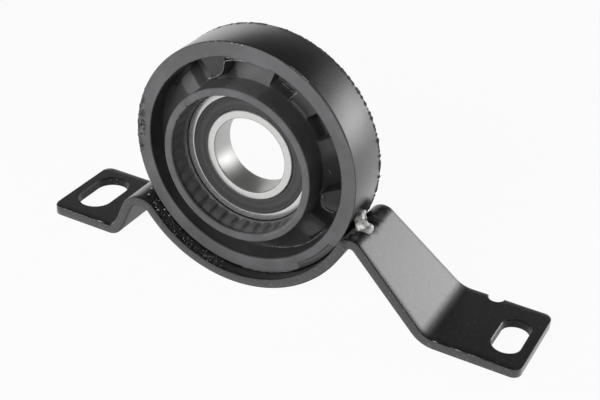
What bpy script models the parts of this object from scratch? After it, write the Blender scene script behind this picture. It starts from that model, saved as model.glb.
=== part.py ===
"""Driveshaft centre bearing: a sealed ball bearing hung in rubber inside a steel ring,
which is welded into a bent strap bracket with two slotted feet.

Metres, +Z up. The shaft runs along Y, and the front faces -Y. The part stands on Z = 0
with its box centred on X = 0 and Y = 0. Round pieces are drawn about the shaft axis,
with Y measured from the ring's front face, and hang from an empty that puts them there.
"""
import math

import bmesh
import bpy
from mathutils import Matrix, Vector

# Bearing, from the shaft outwards: the common 35 x 62 x 14 size
BORE_RADIUS = 0.0175
RACE_WALL = 0.00253
GROOVE_DEPTH = 0.00127
BALL_RADIUS = 0.00397
BALL_COUNT = 11
RACE_CHAMFER = 0.0004
BORE_CHAMFER = 0.0006
CAGE_THICKNESS = 0.0006
CAGE_WIDTH = 0.0026
SEAL_SEAT_STEP = 0.0012
SEAL_THICKNESS = 0.0012
SEAL_RECESS = 0.0005
SEAL_LIP_WIDTH = 0.0012
SEAL_LIP_STEP = 0.0003

# Bearing sleeve
SLEEVE_WALL = 0.0012
SLEEVE_LIP = 0.0020
SLEEVE_CHAMFER = 0.0003

# Rubber mount and the ring outside it
SLEEVE_LEDGE = 0.0006
COLLAR_WALL = 0.0025
COLLAR_REACH = 0.0063
RUBBER_EDGE = 0.0005
WEB_SPAN = 0.0115
WEB_FRONT_AT_COLLAR = 0.0065
WEB_FRONT_AT_RING = 0.0115
WEB_THICKNESS = 0.0085
WEB_SETBACK = 0.0037
WEB_MIDDLE_SHARE = 0.55
WEB_SAG_SHARE = 0.1
LINING_WALL = 0.0036
RING_WALL = 0.0030
RING_EDGE_RADIUS = 0.0005
BEARING_SETBACK = 0.0005

# Pockets, stops and the ramp of the rubber, as angles from +X towards +Z
RUBBER_AXIS_ANGLE = 52.0
POCKET_ANGLES = (-73.5, -16.75, 16.75, 73.5)
POCKET_SPAN = 17.0
POCKET_SKIN = 0.0004
POCKET_FLOOR = 0.0015
STOP_ANGLES = (-58.0, 58.0)
STOP_WIDTH = 0.0098
STOP_NOSE_SHARE = 0.86
STOP_NOSE_LENGTH = 0.0029
STOP_GAP = 0.0026
STOP_SETBACK = 0.0001
RAMP_SPAN = 16.0
RAMP_SETBACK = 0.0005

# Ribs on the inside of the front collar
RIB_COUNT = 36
RIB_HEIGHT = 0.0014
RIB_TIP_WIDTH = 0.0022
RIB_ROOT_WIDTH = 0.0027
RIB_SETBACK = 0.0026

# Strap bracket
STRAP_THICKNESS = 0.0045
STRAP_WIDTH = 0.0345
STRAP_EDGE_CHAMFER = 0.0004
FOOT_WIDTH = 0.0448
FOOT_RISE = 0.0020
FOOT_CORNER_RADIUS = 0.0040
RIGHT_FOOT_REACH = 0.1358
RIGHT_LEAVES_RING = 23.1
RIGHT_HUMP_RADIUS = 0.00675
RIGHT_LEG_ANGLE = 45.5
RIGHT_BEND_RADIUS = 0.0070
LEFT_FOOT_REACH = 0.1002
LEFT_LEAVES_RING = 40.6
LEFT_HUMP_RADIUS = 0.0106
LEFT_LEG_ANGLE = 67.0
LEFT_BEND_RADIUS = 0.0060
RIGHT_SLOT_WIDTH = 0.0125
RIGHT_SLOT_LENGTH = 0.0246
RIGHT_SLOT_FROM_END = 0.0110
RIGHT_SLOT_FROM_BACK = 0.0235
LEFT_SLOT_WIDTH = 0.0160
LEFT_SLOT_LENGTH = 0.0290
LEFT_SLOT_FROM_END = 0.0129
LEFT_SLOT_FROM_BACK = 0.0214
NOTCH_RADIUS = 0.0035
NOTCH_DEPTH = 0.0034
NOTCH_FROM_END = 0.0263

# Weld beads in the valleys between ring and strap
RIGHT_WELD_RADIUS = 0.0046
RIGHT_WELD_START = 0.0045
RIGHT_WELD_LENGTH = 0.0120
LEFT_WELD_RADIUS = 0.0040
LEFT_WELD_START = 0.0070
LEFT_WELD_LENGTH = 0.0120
WELD_RISE_SHARE = 1.6
WELD_OUT_SHARE = 0.55
WELD_RIPPLES = 3
WELD_RIPPLE_SHARE = 0.06

# Clearances
SEAT_GAP = 0.0003
BALL_GAP = 0.00025
CAGE_GAP = 0.00048
SEAL_LIP_GAP = 0.00015
SLEEVE_COVER = 0.00015

# Facets round a full turn
RING_STEPS = 72
RUBBER_TURN = 1.2
RACE_STEPS = 60
GROOVE_STEPS = 5
CAGE_STEPS = 10
POCKET_STEPS = 3
STOP_NOSE_STEP = 30
BALL_SEGMENTS = 12
BALL_RINGS = 8
HUMP_STEP = 11.0
SLOT_STEP = 15
WELD_STEPS = 12

# Sizes that follow, from the shaft outwards
GROOVE_RADIUS = BALL_RADIUS + BALL_GAP
PITCH_RADIUS = BORE_RADIUS + RACE_WALL + GROOVE_RADIUS
INNER_LAND_RADIUS = PITCH_RADIUS - GROOVE_RADIUS + GROOVE_DEPTH
OUTER_LAND_RADIUS = PITCH_RADIUS + GROOVE_RADIUS - GROOVE_DEPTH
SEAL_SEAT_RADIUS = OUTER_LAND_RADIUS + SEAL_SEAT_STEP
SEAL_SEAT_DEPTH = SEAL_RECESS + SEAL_THICKNESS + SEAT_GAP
BEARING_RADIUS = PITCH_RADIUS + GROOVE_RADIUS + RACE_WALL
BEARING_WIDTH = 2 * (SEAL_RECESS + SEAL_THICKNESS + CAGE_GAP + CAGE_THICKNESS + GROOVE_RADIUS)
SLEEVE_BORE_RADIUS = BEARING_RADIUS + SEAT_GAP
SLEEVE_RADIUS = SLEEVE_BORE_RADIUS + SLEEVE_WALL
SLEEVE_SEAT_RADIUS = SLEEVE_RADIUS + SEAT_GAP
COLLAR_BORE_RADIUS = SLEEVE_SEAT_RADIUS + SLEEVE_LEDGE
COLLAR_RADIUS = COLLAR_BORE_RADIUS + COLLAR_WALL
LINING_BORE_RADIUS = COLLAR_RADIUS + WEB_SPAN
LINING_RADIUS = LINING_BORE_RADIUS + LINING_WALL
RING_BORE_RADIUS = LINING_RADIUS + SEAT_GAP
RING_RADIUS = RING_BORE_RADIUS + RING_WALL
RING_WIDTH = WEB_FRONT_AT_RING + WEB_THICKNESS + WEB_SETBACK
BEARING_FRONT = (RING_WIDTH - BEARING_WIDTH) / 2 + BEARING_SETBACK
BEARING_BACK = BEARING_FRONT + BEARING_WIDTH
BEARING_MIDDLE = BEARING_FRONT + BEARING_WIDTH / 2
SLEEVE_BACK = BEARING_BACK + SEAT_GAP + SLEEVE_WALL
COLLAR_BACK = SLEEVE_BACK + SLEEVE_COVER
STRAP_SEAT_RADIUS = RING_RADIUS + SEAT_GAP
FOOT_DROP = STRAP_SEAT_RADIUS - FOOT_RISE
FOOT_BOTTOM = FOOT_DROP + STRAP_THICKNESS
STRAP_FRONT = -COLLAR_REACH
FOOT_BACK = STRAP_FRONT + FOOT_WIDTH
AXIS_X = (LEFT_FOOT_REACH - RIGHT_FOOT_REACH) / 2
AXIS_Y = -(STRAP_FRONT + FOOT_BACK) / 2
AXIS_Z = max(STRAP_SEAT_RADIUS + STRAP_THICKNESS, FOOT_BOTTOM)


def clear_scene():
    for item in list(bpy.data.objects):
        bpy.data.objects.remove(item, do_unlink=True)


def finish(name, color, roughness, metallic):
    """A Principled material with one colour."""
    material = bpy.data.materials.new(name)
    material.use_nodes = True
    shader = material.node_tree.nodes["Principled BSDF"]
    shader.inputs["Base Color"].default_value = (*color, 1.0)
    shader.inputs["Roughness"].default_value = roughness
    shader.inputs["Metallic"].default_value = metallic
    return material


def empty(name, location, parent=None):
    marker = bpy.data.objects.new(name, None)
    bpy.context.scene.collection.objects.link(marker)
    marker.location = location
    marker.parent = parent
    return marker


def add_object(name, mesh_data, material, parent, location=(0, 0, 0)):
    body = bpy.data.objects.new(name, mesh_data)
    bpy.context.scene.collection.objects.link(body)
    body.location = location
    body.parent = parent
    if material:
        body.data.materials.clear()
        body.data.materials.append(material)
    body.data.shade_smooth()
    body.data.set_sharp_from_angle(angle=math.radians(30))
    return body


def mesh_from(name, bm):
    bmesh.ops.recalc_face_normals(bm, faces=bm.faces)
    data = bpy.data.meshes.new(name)
    bm.to_mesh(data)
    bm.free()
    return data


def revolved(name, profile, steps, start=0.0, turn=360.0):
    """The closed profile of (radius, y) points spun about the shaft axis.
    A part turn starts at an angle from +X towards +Z, and its two ends are filled."""
    bm = bmesh.new()
    first = Matrix.Rotation(-math.radians(start), 3, "Y")
    loop = [bm.verts.new(first @ Vector((radius, y, 0.0))) for radius, y in profile]
    face = bm.faces.new(loop)
    full = turn >= 360.0
    geometry = list(face.edges) if full else [face]
    if full:
        bmesh.ops.delete(bm, geom=[face], context="FACES_ONLY")
    bmesh.ops.spin(bm, geom=geometry, cent=(0, 0, 0), axis=(0, -1, 0), dvec=(0, 0, 0),
                   angle=math.radians(turn), steps=steps, use_merge=full)
    return mesh_from(name, bm)


def polar(radius, degrees):
    """X and Z of a point about the shaft axis."""
    angle = math.radians(degrees)
    return radius * math.cos(angle), radius * math.sin(angle)


def prism(name, outline, low, high):
    """The closed outline of (x, z) points, drawn from y = low to y = high."""
    bm = bmesh.new()
    base = bm.faces.new([bm.verts.new((x, low, z)) for x, z in outline])
    top = bmesh.ops.extrude_face_region(bm, geom=[base])["geom"]
    moved = [item for item in top if isinstance(item, bmesh.types.BMVert)]
    bmesh.ops.translate(bm, verts=moved, vec=(0, high - low, 0))
    return mesh_from(name, bm)


def combine(body, mesh_data, operation):
    """Adds or cuts a mesh, placed as the body is, and keeps the result."""
    tool = bpy.data.objects.new(body.name + "_tool", mesh_data)
    bpy.context.scene.collection.objects.link(tool)
    tool.hide_render = True
    tool.display_type = "WIRE"
    tool.parent = body
    step = body.modifiers.new(operation.lower(), "BOOLEAN")
    step.operation = operation
    step.object = tool
    step.solver = "EXACT"
    bpy.context.view_layer.update()
    evaluated = body.evaluated_get(bpy.context.evaluated_depsgraph_get())
    result = bpy.data.meshes.new_from_object(evaluated)
    body.modifiers.clear()
    body.data = result
    bpy.data.objects.remove(tool, do_unlink=True)


def arc_stations(center_x, center_z, radius, start, end, step):
    """Stations (x, z, heading) round a centre; turning left has end above start."""
    count = max(2, math.ceil(abs(end - start) / step))
    turn_left = 1 if end > start else -1
    stations = []
    for index in range(count + 1):
        angle = start + (end - start) * index / count
        x, z = polar(radius, angle)
        stations.append((center_x + x, center_z + z, angle + 90 * turn_left))
    return stations


def corner_distances(corner_radius):
    """Distances from a foot's end, falling to nothing, where its rounded corners are drawn."""
    return [corner_radius * (1 - math.cos(math.radians(angle))) for angle in range(90, -1, -18)]


def leg_geometry(leaves, hump_radius, leg_angle, bend_radius):
    """Hump centre, leg top and bend centre of a leg on the +X side, along the strap's middle."""
    middle = hump_radius - STRAP_THICKNESS / 2
    hump_x, hump_z = polar(STRAP_SEAT_RADIUS + hump_radius, -leaves)
    slope = math.radians(leg_angle)
    top_x = hump_x + middle * math.sin(slope)
    top_z = hump_z + middle * math.cos(slope)
    foot_z = -FOOT_DROP - STRAP_THICKNESS / 2
    corner_x = top_x + (top_z - foot_z) / math.tan(slope)
    bend_x = corner_x + bend_radius * math.tan(slope / 2)
    return hump_x, hump_z, middle, bend_x, foot_z + bend_radius


def strap_side(leaves, hump_radius, leg_angle, bend_radius, reach):
    """Stations from the ring to the foot's end of one side, drawn on the +X side,
    as (x, z, heading, back y, inset of the rounded corner)."""
    hump_x, hump_z, middle, bend_x, bend_z = leg_geometry(leaves, hump_radius, leg_angle,
                                                          bend_radius)
    hump = arc_stations(hump_x, hump_z, middle, 180 - leaves, 90 - leg_angle, HUMP_STEP)
    bend = arc_stations(bend_x, bend_z, bend_radius, -90 - leg_angle, -90, HUMP_STEP)
    band_back = STRAP_FRONT + STRAP_WIDTH
    leg_top = hump[-1][1]
    foot_z = bend[-1][1]
    stations = [(x, z, heading, band_back, 0.0) for x, z, heading in hump]
    for x, z, heading in bend:
        share = (leg_top - z) / (leg_top - foot_z)
        stations.append((x, z, heading, band_back + (FOOT_BACK - band_back) * share, 0.0))
    for distance in corner_distances(FOOT_CORNER_RADIUS):
        depth = FOOT_CORNER_RADIUS - distance
        inset = FOOT_CORNER_RADIUS - math.sqrt(FOOT_CORNER_RADIUS ** 2 - depth ** 2)
        stations.append((reach - distance, foot_z, 0.0, FOOT_BACK, inset))
    return stations


def strap_stations():
    """All stations from the left foot's end, round under the ring, to the right foot's end."""
    right = strap_side(RIGHT_LEAVES_RING, RIGHT_HUMP_RADIUS, RIGHT_LEG_ANGLE,
                       RIGHT_BEND_RADIUS, RIGHT_FOOT_REACH)
    left = strap_side(LEFT_LEAVES_RING, LEFT_HUMP_RADIUS, LEFT_LEG_ANGLE,
                      LEFT_BEND_RADIUS, LEFT_FOOT_REACH)
    left = [(-x, z, -heading, back, inset) for x, z, heading, back, inset in reversed(left)]
    belly = arc_stations(0, 0, STRAP_SEAT_RADIUS + STRAP_THICKNESS / 2,
                         -180 + LEFT_LEAVES_RING, -RIGHT_LEAVES_RING, 360 / RING_STEPS)
    band_back = STRAP_FRONT + STRAP_WIDTH
    belly = [(x, z, heading, band_back, 0.0) for x, z, heading in belly[1:-1]]
    return left + belly + right


def strap_mesh(extra=0.0):
    """The strap as a ribbon of sections; extra grows it on both faces."""
    bm = bmesh.new()
    half = STRAP_THICKNESS / 2 + extra
    rows = []
    for x, z, heading, back, inset in strap_stations():
        normal_x, normal_z = polar(half, heading + 90)
        front_y, back_y = STRAP_FRONT + inset, back - inset
        rows.append([bm.verts.new((x + normal_x, front_y, z + normal_z)),
                     bm.verts.new((x + normal_x, back_y, z + normal_z)),
                     bm.verts.new((x - normal_x, back_y, z - normal_z)),
                     bm.verts.new((x - normal_x, front_y, z - normal_z))])
    for row, following in zip(rows, rows[1:]):
        for corner in range(4):
            after = (corner + 1) % 4
            bm.faces.new((row[corner], row[after], following[after], following[corner]))
    bm.faces.new(rows[0])
    bm.faces.new(rows[-1])
    return mesh_from("strap", bm)


def slot_cutter(center_x, center_y, width, length):
    """An upright slot tool that runs along Y through a foot."""
    bm = bmesh.new()
    half = (length - width) / 2
    outline = []
    for side, start in ((1, 0), (-1, 180)):
        for index in range(180 // SLOT_STEP + 1):
            x, y = polar(width / 2, start + SLOT_STEP * index)
            outline.append(bm.verts.new((center_x + x, center_y + side * half + y,
                                         -FOOT_BOTTOM - STRAP_THICKNESS)))
    base = bm.faces.new(outline)
    top = bmesh.ops.extrude_face_region(bm, geom=[base])["geom"]
    moved = [item for item in top if isinstance(item, bmesh.types.BMVert)]
    bmesh.ops.translate(bm, verts=moved, vec=(0, 0, 3 * STRAP_THICKNESS))
    return mesh_from("slot", bm)


def make_bracket_strap(material, parent):
    strap = add_object("bracket_strap", strap_mesh(), material, parent)
    combine(strap, slot_cutter(RIGHT_FOOT_REACH - RIGHT_SLOT_FROM_END, FOOT_BACK - RIGHT_SLOT_FROM_BACK,
                               RIGHT_SLOT_WIDTH, RIGHT_SLOT_LENGTH), "DIFFERENCE")
    combine(strap, slot_cutter(-LEFT_FOOT_REACH + LEFT_SLOT_FROM_END, FOOT_BACK - LEFT_SLOT_FROM_BACK,
                               LEFT_SLOT_WIDTH, LEFT_SLOT_LENGTH), "DIFFERENCE")
    combine(strap, slot_cutter(RIGHT_FOOT_REACH - NOTCH_FROM_END, FOOT_BACK - NOTCH_DEPTH + 2 * NOTCH_RADIUS,
                               2 * NOTCH_RADIUS, 4 * NOTCH_RADIUS), "DIFFERENCE")
    edges = strap.modifiers.new("sheared edges", "BEVEL")
    edges.width = STRAP_EDGE_CHAMFER
    edges.segments = 1
    edges.limit_method = "ANGLE"
    edges.angle_limit = math.radians(50)
    return strap


def rounded_corner(radius, y, corner_radius, side_r, side_y, steps=3):
    """Points round a profile's outside corner at (radius, y); side_r and side_y point
    from the corner's centre to the corner. They run from the flat end to the round side."""
    points = []
    for index in range(steps + 1):
        angle = math.radians(90 * index / steps)
        points.append((radius - side_r * corner_radius * (1 - math.sin(angle)),
                       y - side_y * corner_radius * (1 - math.cos(angle))))
    return points


def make_outer_ring(material, parent):
    profile = [(RING_BORE_RADIUS, 0.0)]
    profile += rounded_corner(RING_RADIUS, 0.0, RING_EDGE_RADIUS, 1, -1)
    profile += reversed(rounded_corner(RING_RADIUS, RING_WIDTH, RING_EDGE_RADIUS, 1, 1))
    profile += [(RING_BORE_RADIUS, RING_WIDTH)]
    return add_object("outer_ring", revolved("outer_ring", profile, RING_STEPS), material, parent)


def rubber_profile():
    """The moulding's section: collar, web and lining."""
    edge = RUBBER_EDGE
    sleeve_front = BEARING_FRONT - SEAT_GAP
    middle_radius = COLLAR_RADIUS + WEB_MIDDLE_SHARE * WEB_SPAN
    slope = WEB_FRONT_AT_RING - WEB_FRONT_AT_COLLAR
    middle_front = WEB_FRONT_AT_COLLAR + (WEB_MIDDLE_SHARE - WEB_SAG_SHARE) * slope
    points = [(COLLAR_BORE_RADIUS, -COLLAR_REACH + edge), (COLLAR_BORE_RADIUS + edge, -COLLAR_REACH)]
    points += [(COLLAR_RADIUS - edge, -COLLAR_REACH), (COLLAR_RADIUS, -COLLAR_REACH + edge)]
    points += [(COLLAR_RADIUS, WEB_FRONT_AT_COLLAR), (middle_radius, middle_front)]
    points += [(LINING_BORE_RADIUS, WEB_FRONT_AT_RING), (LINING_BORE_RADIUS, edge)]
    points += [(LINING_BORE_RADIUS + edge, 0.0), (LINING_RADIUS, 0.0), (LINING_RADIUS, RING_WIDTH)]
    points += [(LINING_BORE_RADIUS + edge, RING_WIDTH), (LINING_BORE_RADIUS, RING_WIDTH - edge)]
    points += [(LINING_BORE_RADIUS, WEB_FRONT_AT_RING + WEB_THICKNESS)]
    points += [(middle_radius, middle_front + WEB_THICKNESS)]
    points += [(COLLAR_RADIUS, WEB_FRONT_AT_COLLAR + WEB_THICKNESS)]
    points += [(COLLAR_RADIUS, COLLAR_BACK - edge), (COLLAR_RADIUS - edge, COLLAR_BACK)]
    points += [(SLEEVE_SEAT_RADIUS, COLLAR_BACK), (SLEEVE_SEAT_RADIUS, sleeve_front)]
    points += [(COLLAR_BORE_RADIUS, sleeve_front)]
    return points


def pocket_mesh(angle):
    """A tool for one blind pocket in the web's front."""
    inner = COLLAR_RADIUS + POCKET_SKIN
    outer = LINING_BORE_RADIUS - POCKET_SKIN
    floor_inner = WEB_FRONT_AT_COLLAR + WEB_THICKNESS - POCKET_FLOOR
    floor_outer = WEB_FRONT_AT_RING + WEB_THICKNESS - POCKET_FLOOR
    profile = [(inner, -COLLAR_REACH), (outer, -COLLAR_REACH), (outer, floor_outer), (inner, floor_inner)]
    return revolved("pocket", profile, POCKET_STEPS, angle - POCKET_SPAN / 2, POCKET_SPAN)


def stop_mesh(angle):
    """A bump stop: a block on the lining, narrower and rounded towards the collar."""
    root = LINING_BORE_RADIUS + LINING_WALL / 2
    shoulder = COLLAR_RADIUS + STOP_GAP + STOP_NOSE_LENGTH
    half = STOP_WIDTH / 2
    nose_half = STOP_NOSE_SHARE * half
    outline = [(root, -half)]
    for degrees in range(270, 89, -STOP_NOSE_STEP):
        x, z = polar(1.0, degrees)
        outline.append((shoulder + STOP_NOSE_LENGTH * x, nose_half * z))
    outline.append((root, half))
    back = (WEB_FRONT_AT_COLLAR + WEB_FRONT_AT_RING + WEB_THICKNESS) / 2
    data = prism("stop", outline, STOP_SETBACK, back)
    data.transform(Matrix.Rotation(-math.radians(angle), 4, "Y"))
    return data


def ramp_mesh(angle):
    """The raised bridge between the two upper pockets, sloping from the lining to the collar."""
    root = LINING_BORE_RADIUS + POCKET_SKIN
    foot = COLLAR_RADIUS - POCKET_SKIN
    back = WEB_FRONT_AT_COLLAR + WEB_THICKNESS / 2
    profile = [(foot, WEB_FRONT_AT_COLLAR + RAMP_SETBACK), (root, RAMP_SETBACK),
               (root, back + WEB_FRONT_AT_RING - WEB_FRONT_AT_COLLAR), (foot, back)]
    return revolved("ramp", profile, POCKET_STEPS, angle - RAMP_SPAN / 2, RAMP_SPAN)


def rib_meshes():
    """The collar's inner ribs, as one tool of separate bars."""
    bm = bmesh.new()
    low = -COLLAR_REACH + RIB_SETBACK
    high = BEARING_FRONT - 2 * SEAT_GAP
    tip = COLLAR_BORE_RADIUS - RIB_HEIGHT
    root = COLLAR_BORE_RADIUS + RUBBER_EDGE
    section = [(tip, -RIB_TIP_WIDTH / 2), (tip, RIB_TIP_WIDTH / 2),
               (root, RIB_ROOT_WIDTH / 2), (root, -RIB_ROOT_WIDTH / 2)]
    for index in range(RIB_COUNT):
        turn = Matrix.Rotation(2 * math.pi * (index + 0.5) / RIB_COUNT, 3, "Y")
        base = bm.faces.new([bm.verts.new(turn @ Vector((x, low, z))) for x, z in section])
        top = bmesh.ops.extrude_face_region(bm, geom=[base])["geom"]
        moved = [item for item in top if isinstance(item, bmesh.types.BMVert)]
        bmesh.ops.translate(bm, verts=moved, vec=(0, high - low, 0))
    return mesh_from("ribs", bm)


def make_rubber_mount(material, parent):
    moulding = revolved("rubber_mount", rubber_profile(), RING_STEPS, RUBBER_TURN)
    mount = add_object("rubber_mount", moulding, material, parent)
    for offset in STOP_ANGLES:
        combine(mount, stop_mesh(RUBBER_AXIS_ANGLE + offset), "UNION")
    combine(mount, ramp_mesh(RUBBER_AXIS_ANGLE), "UNION")
    for offset in POCKET_ANGLES:
        combine(mount, pocket_mesh(RUBBER_AXIS_ANGLE + offset), "DIFFERENCE")
    combine(mount, rib_meshes(), "UNION")
    return mount


def make_bearing_sleeve(material, parent):
    chamfer = SLEEVE_CHAMFER
    front, back = BEARING_FRONT, SLEEVE_BACK
    lip_radius, lip_front = BEARING_RADIUS - SLEEVE_LIP, BEARING_BACK + SEAT_GAP
    profile = [(SLEEVE_BORE_RADIUS, front), (SLEEVE_RADIUS - chamfer, front)]
    profile += [(SLEEVE_RADIUS, front + chamfer), (SLEEVE_RADIUS, back - 2 * chamfer)]
    profile += [(SLEEVE_RADIUS - 2 * chamfer, back), (lip_radius, back)]
    profile += [(lip_radius, lip_front), (SLEEVE_BORE_RADIUS, lip_front)]
    return add_object("bearing_sleeve", revolved("bearing_sleeve", profile, RACE_STEPS), material, parent)


def raceway(land_radius, side):
    """Profile points of a ball groove, from front to back; side is +1 on the outer race."""
    edge_angle = math.acos(abs(PITCH_RADIUS - land_radius) / GROOVE_RADIUS)
    points = []
    for index in range(GROOVE_STEPS + 1):
        angle = -edge_angle + 2 * edge_angle * index / GROOVE_STEPS
        points.append((PITCH_RADIUS + side * GROOVE_RADIUS * math.cos(angle),
                       BEARING_MIDDLE + GROOVE_RADIUS * math.sin(angle)))
    return points


def make_outer_race(material, parent):
    front, back = BEARING_FRONT, BEARING_BACK
    edge = RACE_CHAMFER
    profile = [(BEARING_RADIUS, back - edge), (BEARING_RADIUS - edge, back), (SEAL_SEAT_RADIUS, back)]
    profile += [(SEAL_SEAT_RADIUS, back - SEAL_SEAT_DEPTH), (OUTER_LAND_RADIUS, back - SEAL_SEAT_DEPTH)]
    profile += reversed(raceway(OUTER_LAND_RADIUS, 1))
    profile += [(OUTER_LAND_RADIUS, front + SEAL_SEAT_DEPTH), (SEAL_SEAT_RADIUS, front + SEAL_SEAT_DEPTH)]
    profile += [(SEAL_SEAT_RADIUS, front), (BEARING_RADIUS - edge, front), (BEARING_RADIUS, front + edge)]
    return add_object("outer_race", revolved("outer_race", profile, RACE_STEPS), material, parent)


def make_inner_race(material, parent):
    front, back = BEARING_FRONT, BEARING_BACK
    edge = RACE_CHAMFER
    profile = [(BORE_RADIUS, front + BORE_CHAMFER), (BORE_RADIUS + BORE_CHAMFER, front)]
    profile += [(INNER_LAND_RADIUS - edge, front), (INNER_LAND_RADIUS, front + edge)]
    profile += raceway(INNER_LAND_RADIUS, -1)
    profile += [(INNER_LAND_RADIUS, back - edge), (INNER_LAND_RADIUS - edge, back)]
    profile += [(BORE_RADIUS + BORE_CHAMFER, back), (BORE_RADIUS, back - BORE_CHAMFER)]
    return add_object("inner_race", revolved("inner_race", profile, RACE_STEPS), material, parent)


def make_seal(name, face, inward, material, parent):
    """A rubber seal; face is the race's end, and inward points to the balls along Y."""
    outer = SEAL_SEAT_RADIUS - SEAT_GAP
    inner = INNER_LAND_RADIUS + SEAL_LIP_GAP
    step = inner + SEAL_LIP_WIDTH
    outside = face + inward * SEAL_RECESS
    inside = outside + inward * SEAL_THICKNESS
    thinner = SEAL_LIP_STEP * inward
    profile = [(inner, outside + thinner), (step, outside), (outer, outside), (outer, inside),
               (step, inside), (inner, inside - thinner)]
    return add_object(name, revolved(name, profile, RACE_STEPS), material, parent)


def cage_offset(along, reach):
    """Height of the cage ribbon above the middle plane, at a distance from a ball's centre."""
    flat = BALL_GAP / 2 + reach - GROOVE_RADIUS
    return max(flat, math.sqrt(max(reach ** 2 - along ** 2, 0.0)))


def make_cage(name, direction, material, parent):
    """Half of the pressed cage: a ribbon that bulges round each ball."""
    bm = bmesh.new()
    inner, outer = PITCH_RADIUS - CAGE_WIDTH / 2, PITCH_RADIUS + CAGE_WIDTH / 2
    rows = []
    for ball in range(BALL_COUNT):
        for index in range(CAGE_STEPS):
            share = index / CAGE_STEPS - 0.5
            angle = 360 * (ball + share) / BALL_COUNT
            along = 2 * math.pi * PITCH_RADIUS * share / BALL_COUNT
            near = BEARING_MIDDLE + direction * cage_offset(along, GROOVE_RADIUS)
            far = BEARING_MIDDLE + direction * cage_offset(along, GROOVE_RADIUS + CAGE_THICKNESS)
            row = []
            for radius, y in ((inner, near), (outer, near), (outer, far), (inner, far)):
                x, z = polar(radius, angle)
                row.append(bm.verts.new((x, y, z)))
            rows.append(row)
    for row, following in zip(rows, rows[1:] + rows[:1]):
        for corner in range(4):
            after = (corner + 1) % 4
            bm.faces.new((row[corner], row[after], following[after], following[corner]))
    return add_object(name, mesh_from(name, bm), material, parent)


def make_balls(material, parent):
    bm = bmesh.new()
    bmesh.ops.create_uvsphere(bm, u_segments=BALL_SEGMENTS, v_segments=BALL_RINGS, radius=BALL_RADIUS)
    data = mesh_from("ball", bm)
    for index in range(BALL_COUNT):
        x, z = polar(PITCH_RADIUS, 360 * index / BALL_COUNT)
        place = (x, BEARING_MIDDLE, z)
        add_object(f"ball_{index + 1:02d}", data.copy(), material, parent, place)


def weld_mesh(center_x, center_z, radius, start, length):
    """A run of weld metal as overlapping ripples along Y."""
    bm = bmesh.new()
    rows = []
    for index in range(WELD_STEPS + 1):
        share = index / WELD_STEPS
        bulge = math.sqrt(max(1 - (2 * share - 1) ** 4, 0.02))
        ripple = 1 + WELD_RIPPLE_SHARE * math.cos(2 * math.pi * WELD_RIPPLES * share)
        row = []
        for corner in range(WELD_STEPS):
            x, z = polar(radius * bulge * ripple, 360 * corner / WELD_STEPS)
            row.append(bm.verts.new((center_x + x, start + length * share, center_z + z)))
        rows.append(row)
    for row, following in zip(rows, rows[1:]):
        for corner in range(WELD_STEPS):
            after = (corner + 1) % WELD_STEPS
            bm.faces.new((row[corner], row[after], following[after], following[corner]))
    bm.faces.new(rows[0])
    bm.faces.new(rows[-1])
    return mesh_from("weld", bm)


def make_weld(name, side, leaves, radius, start, length, material, parent):
    """A bead in the valley between ring and hump, trimmed to both with the seat gap."""
    contact_x, contact_z = polar(STRAP_SEAT_RADIUS + WELD_OUT_SHARE * radius, -leaves)
    rise_x, rise_z = polar(WELD_RISE_SHARE * radius, 90 - leaves)
    bead_data = weld_mesh(side * (contact_x + rise_x), contact_z + rise_z, radius, start, length)
    bead = add_object(name, bead_data, material, parent)
    ring = [polar(RING_RADIUS + SEAT_GAP, 360 * index / RING_STEPS) for index in range(RING_STEPS)]
    combine(bead, prism("ring_tool", ring, -RING_WIDTH, 2 * RING_WIDTH), "DIFFERENCE")
    combine(bead, strap_mesh(SEAT_GAP), "DIFFERENCE")
    return bead


def main():
    clear_scene()
    paint = finish("black paint", (0.012, 0.012, 0.013), 0.42, 0.0)
    rubber = finish("moulded rubber", (0.016, 0.016, 0.017), 0.62, 0.0)
    bright = finish("ground bearing steel", (0.62, 0.62, 0.64), 0.22, 1.0)
    seal = finish("seal rubber", (0.030, 0.030, 0.032), 0.5, 0.0)
    pressed = finish("pressed steel", (0.42, 0.42, 0.43), 0.4, 1.0)
    weld = finish("weld metal", (0.30, 0.30, 0.31), 0.5, 1.0)

    shaft_axis = empty("shaft_axis", (AXIS_X, AXIS_Y, AXIS_Z))
    inner_turn = empty("inner_race_turn", (0, 0, 0), shaft_axis)
    cage_turn = empty("cage_turn", (0, 0, 0), shaft_axis)
    bpy.context.view_layer.update()

    make_bracket_strap(paint, shaft_axis)
    make_outer_ring(paint, shaft_axis)
    make_weld("weld_bead_right", 1, RIGHT_LEAVES_RING, RIGHT_WELD_RADIUS, RIGHT_WELD_START,
              RIGHT_WELD_LENGTH, weld, shaft_axis)
    make_weld("weld_bead_left", -1, LEFT_LEAVES_RING, LEFT_WELD_RADIUS, LEFT_WELD_START,
              LEFT_WELD_LENGTH, weld, shaft_axis)
    make_rubber_mount(rubber, shaft_axis)
    make_bearing_sleeve(pressed, shaft_axis)
    make_outer_race(bright, shaft_axis)
    make_seal("seal_front", BEARING_FRONT, 1, seal, shaft_axis)
    make_seal("seal_rear", BEARING_BACK, -1, seal, shaft_axis)
    make_inner_race(bright, inner_turn)
    make_cage("cage_front", -1, pressed, cage_turn)
    make_cage("cage_rear", 1, pressed, cage_turn)
    make_balls(bright, cage_turn)


main()
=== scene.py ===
import math

import bmesh
import bpy
import numpy as np
from mathutils import Matrix, Vector, noise


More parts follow.
